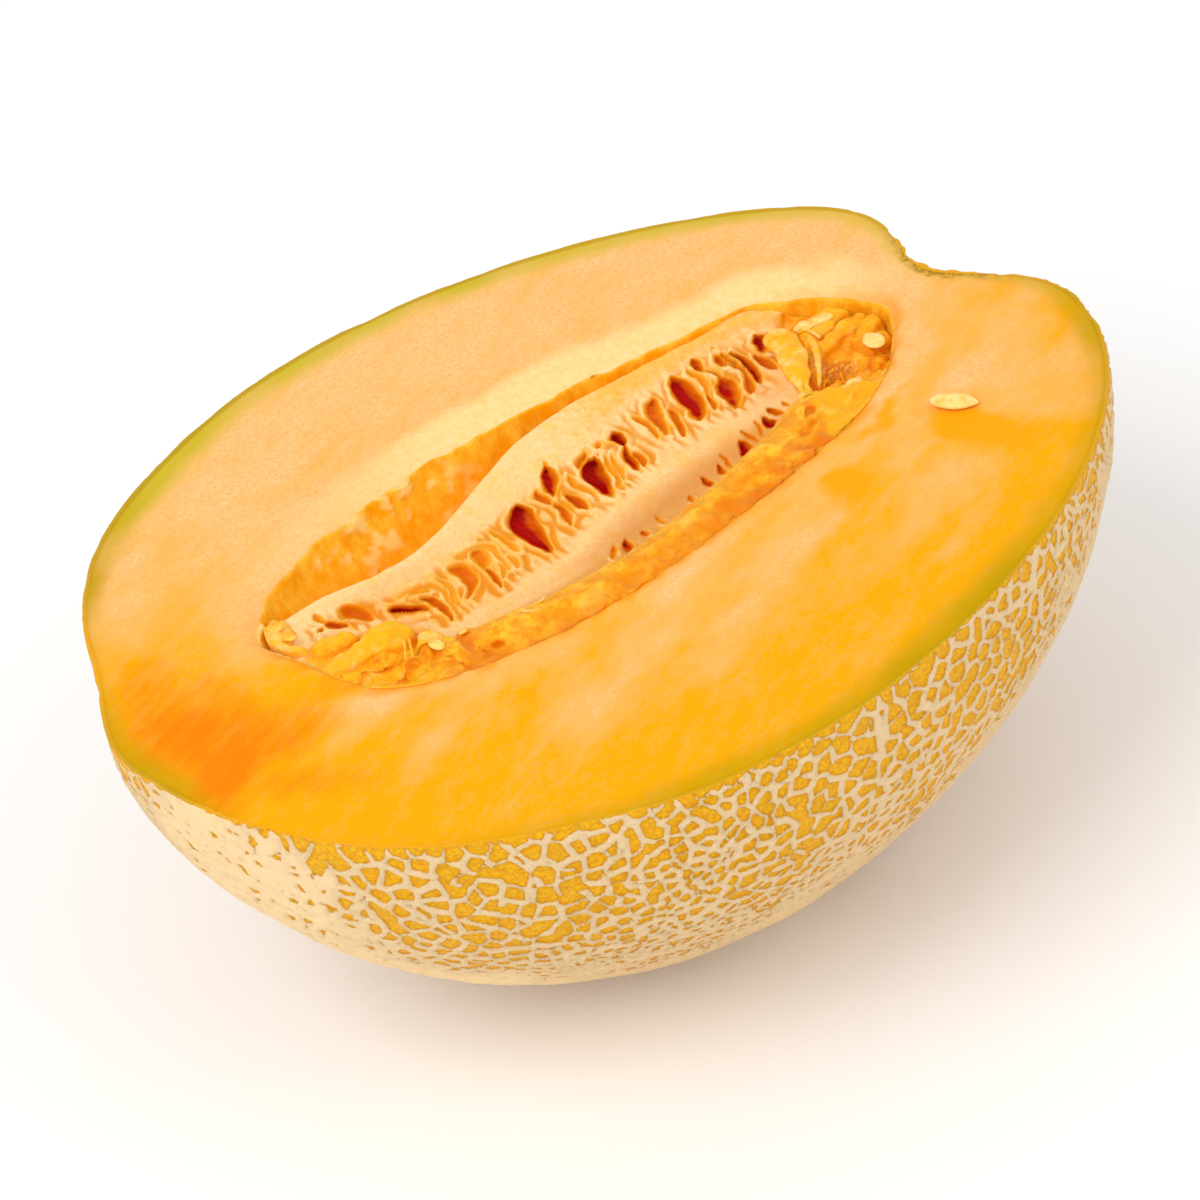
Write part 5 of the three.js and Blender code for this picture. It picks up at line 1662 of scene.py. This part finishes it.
def joined(parts):
    """One mesh from several, each given as points, triangles and hue."""
    all_points, all_triangles, hues = zip(*parts)
    counts = [len(points) for points in all_points]
    starts = np.cumsum(counts) - counts
    triangles = np.concatenate([part + start for part, start in zip(all_triangles, starts)])
    return np.concatenate(all_points), triangles, np.repeat(hues, counts)


def add_strands():
    parts = [(*tube(row), row[12]) for row in STRANDS]
    draw = np.random.default_rng(SEED + 5)
    for _ in range(FIBRES):
        middle = draw.normal(FIBRES_MIDDLE, FIBRES_SPREAD)
        lean = math.radians(draw.uniform(20, 75))
        run = np.array([math.cos(lean), math.sin(lean), draw.uniform(-0.3, 0.3)]) * draw.uniform(0.6, 1.8)
        bow = draw.normal(0, 0.4, 3)
        row = (*(middle - run), *(middle + bow), *(middle + run), draw.uniform(0.1, 0.24), 0.1, 1)
        parts.append((*tube(row, 8, 12), draw.uniform(-0.5, 1.6)))
    points, triangles, hues = joined(parts)
    piece = mesh_object("strands", points, triangles, {"hue": hues, "high": points[:, 2]})
    dressed(piece, strand_material(), "seed_core")


def strand_material():
    finish = Finish("strands")
    step = finish.step
    hue, high = finish.attributes("hue", "high")
    fine = finish.noise(2.6, 4, 0.65)
    hue = finish.swung(hue, fine, 3.4)
    shade = finish.under(
        finish.mix(step(hue, -0.6, 0.1), (190, 80, 4), (236, 122, 0)),
        (step(hue, 0.0, 0.9), (254, 180, 22)),
        (step(hue, 0.9, 2.1), (254, 214, 134)),
        (step(high, -1.4, -3.2, 0, 0.6), (246, 150, 8)),
    )
    finish.set(Base_Color=shade, Roughness=0.3, Specular_IOR_Level=0.12)
    finish.set(Subsurface_Weight=0.3, Subsurface_Radius=(1.0, 0.45, 0.12), Subsurface_Scale=0.002)
    finish.set(Normal=finish.bump(fine, 0.12, 0.4))
    return finish.material


def seed_points(tip, tail, middle_height, wide, thick):
    """Points and triangles of a flat teardrop seed from its pointed tip to its round tail."""
    run = tip - tail
    ahead = unit(run)
    aside = np.array([-ahead[1], ahead[0]])
    turn = turns(SEED_SIDES)
    side = np.sign(np.cos(turn)) * np.abs(np.cos(turn)) ** 0.9
    rings = []
    for swing in seed_swings():
        along = math.cos(swing)
        width = math.sin(swing) ** (1 + 0.35 * max(along, 0)) * (1 - 0.28 * max(along, 0) ** 2)
        flat = (tip + tail) / 2 + run * along / 2 + aside * (side * width * wide / 2)[:, None]
        rings.append(np.column_stack([flat, middle_height + np.sin(turn) * width * thick / 2]))
    return closed_from_rings(rings)


def seed_material():
    finish = Finish("seed")
    small, = finish.attributes("small")
    grain = finish.noise(1.5, 3, 0.6)
    cover = finish.step(grain, 0.3, 0.7)
    pale = finish.mix(cover, (246, 200, 96), (254, 228, 150))
    gold = finish.mix(cover, (252, 186, 50), (255, 216, 116))
    finish.set(Base_Color=finish.mix(small, pale, gold), Specular_IOR_Level=0.2)
    finish.set(Roughness=0.36, Subsurface_Weight=0.25, Subsurface_Radius=(1, 0.6, 0.2))
    finish.set(Subsurface_Scale=0.0012, Normal=finish.bump(grain, 0.08, 0.4))
    return finish.material


def add_seeds():
    middle = SEED_THICKNESS / 2 - SEED_SUNK
    points, triangles = seed_points(LOOSE_SEED_TIP, LOOSE_SEED_TAIL, middle, SEED_WIDTH, SEED_THICKNESS)
    material = seed_material()
    dressed(mesh_object("loose_seed", points, triangles), material, "flesh")
    tip, tail = np.array(RIGHT_SEED[:2])
    points, triangles = seed_points(tip[:2], tail[:2], 0, *RIGHT_SEED[2:])
    run = tip - tail
    points[:, 2] += tail[2] + run[2] * ((points[:, :2] - tail[:2]) @ run[:2]) / (run[:2] @ run[:2])
    parts = [(points, triangles, 0)]
    for row in SMALL_SEEDS:
        parts.append((*lean_ball(np.array(row[:3]), row[3:6], row[6]), 1))
    points, triangles, small = joined(parts)
    piece = mesh_object("core_seeds", points, triangles, {"small": small})
    dressed(piece, material, "seed_core")


add_camera()
add_stage()
add_rind()
add_flesh()
add_core()
add_strands()
add_seeds()

bpy.context.view_layer.update()
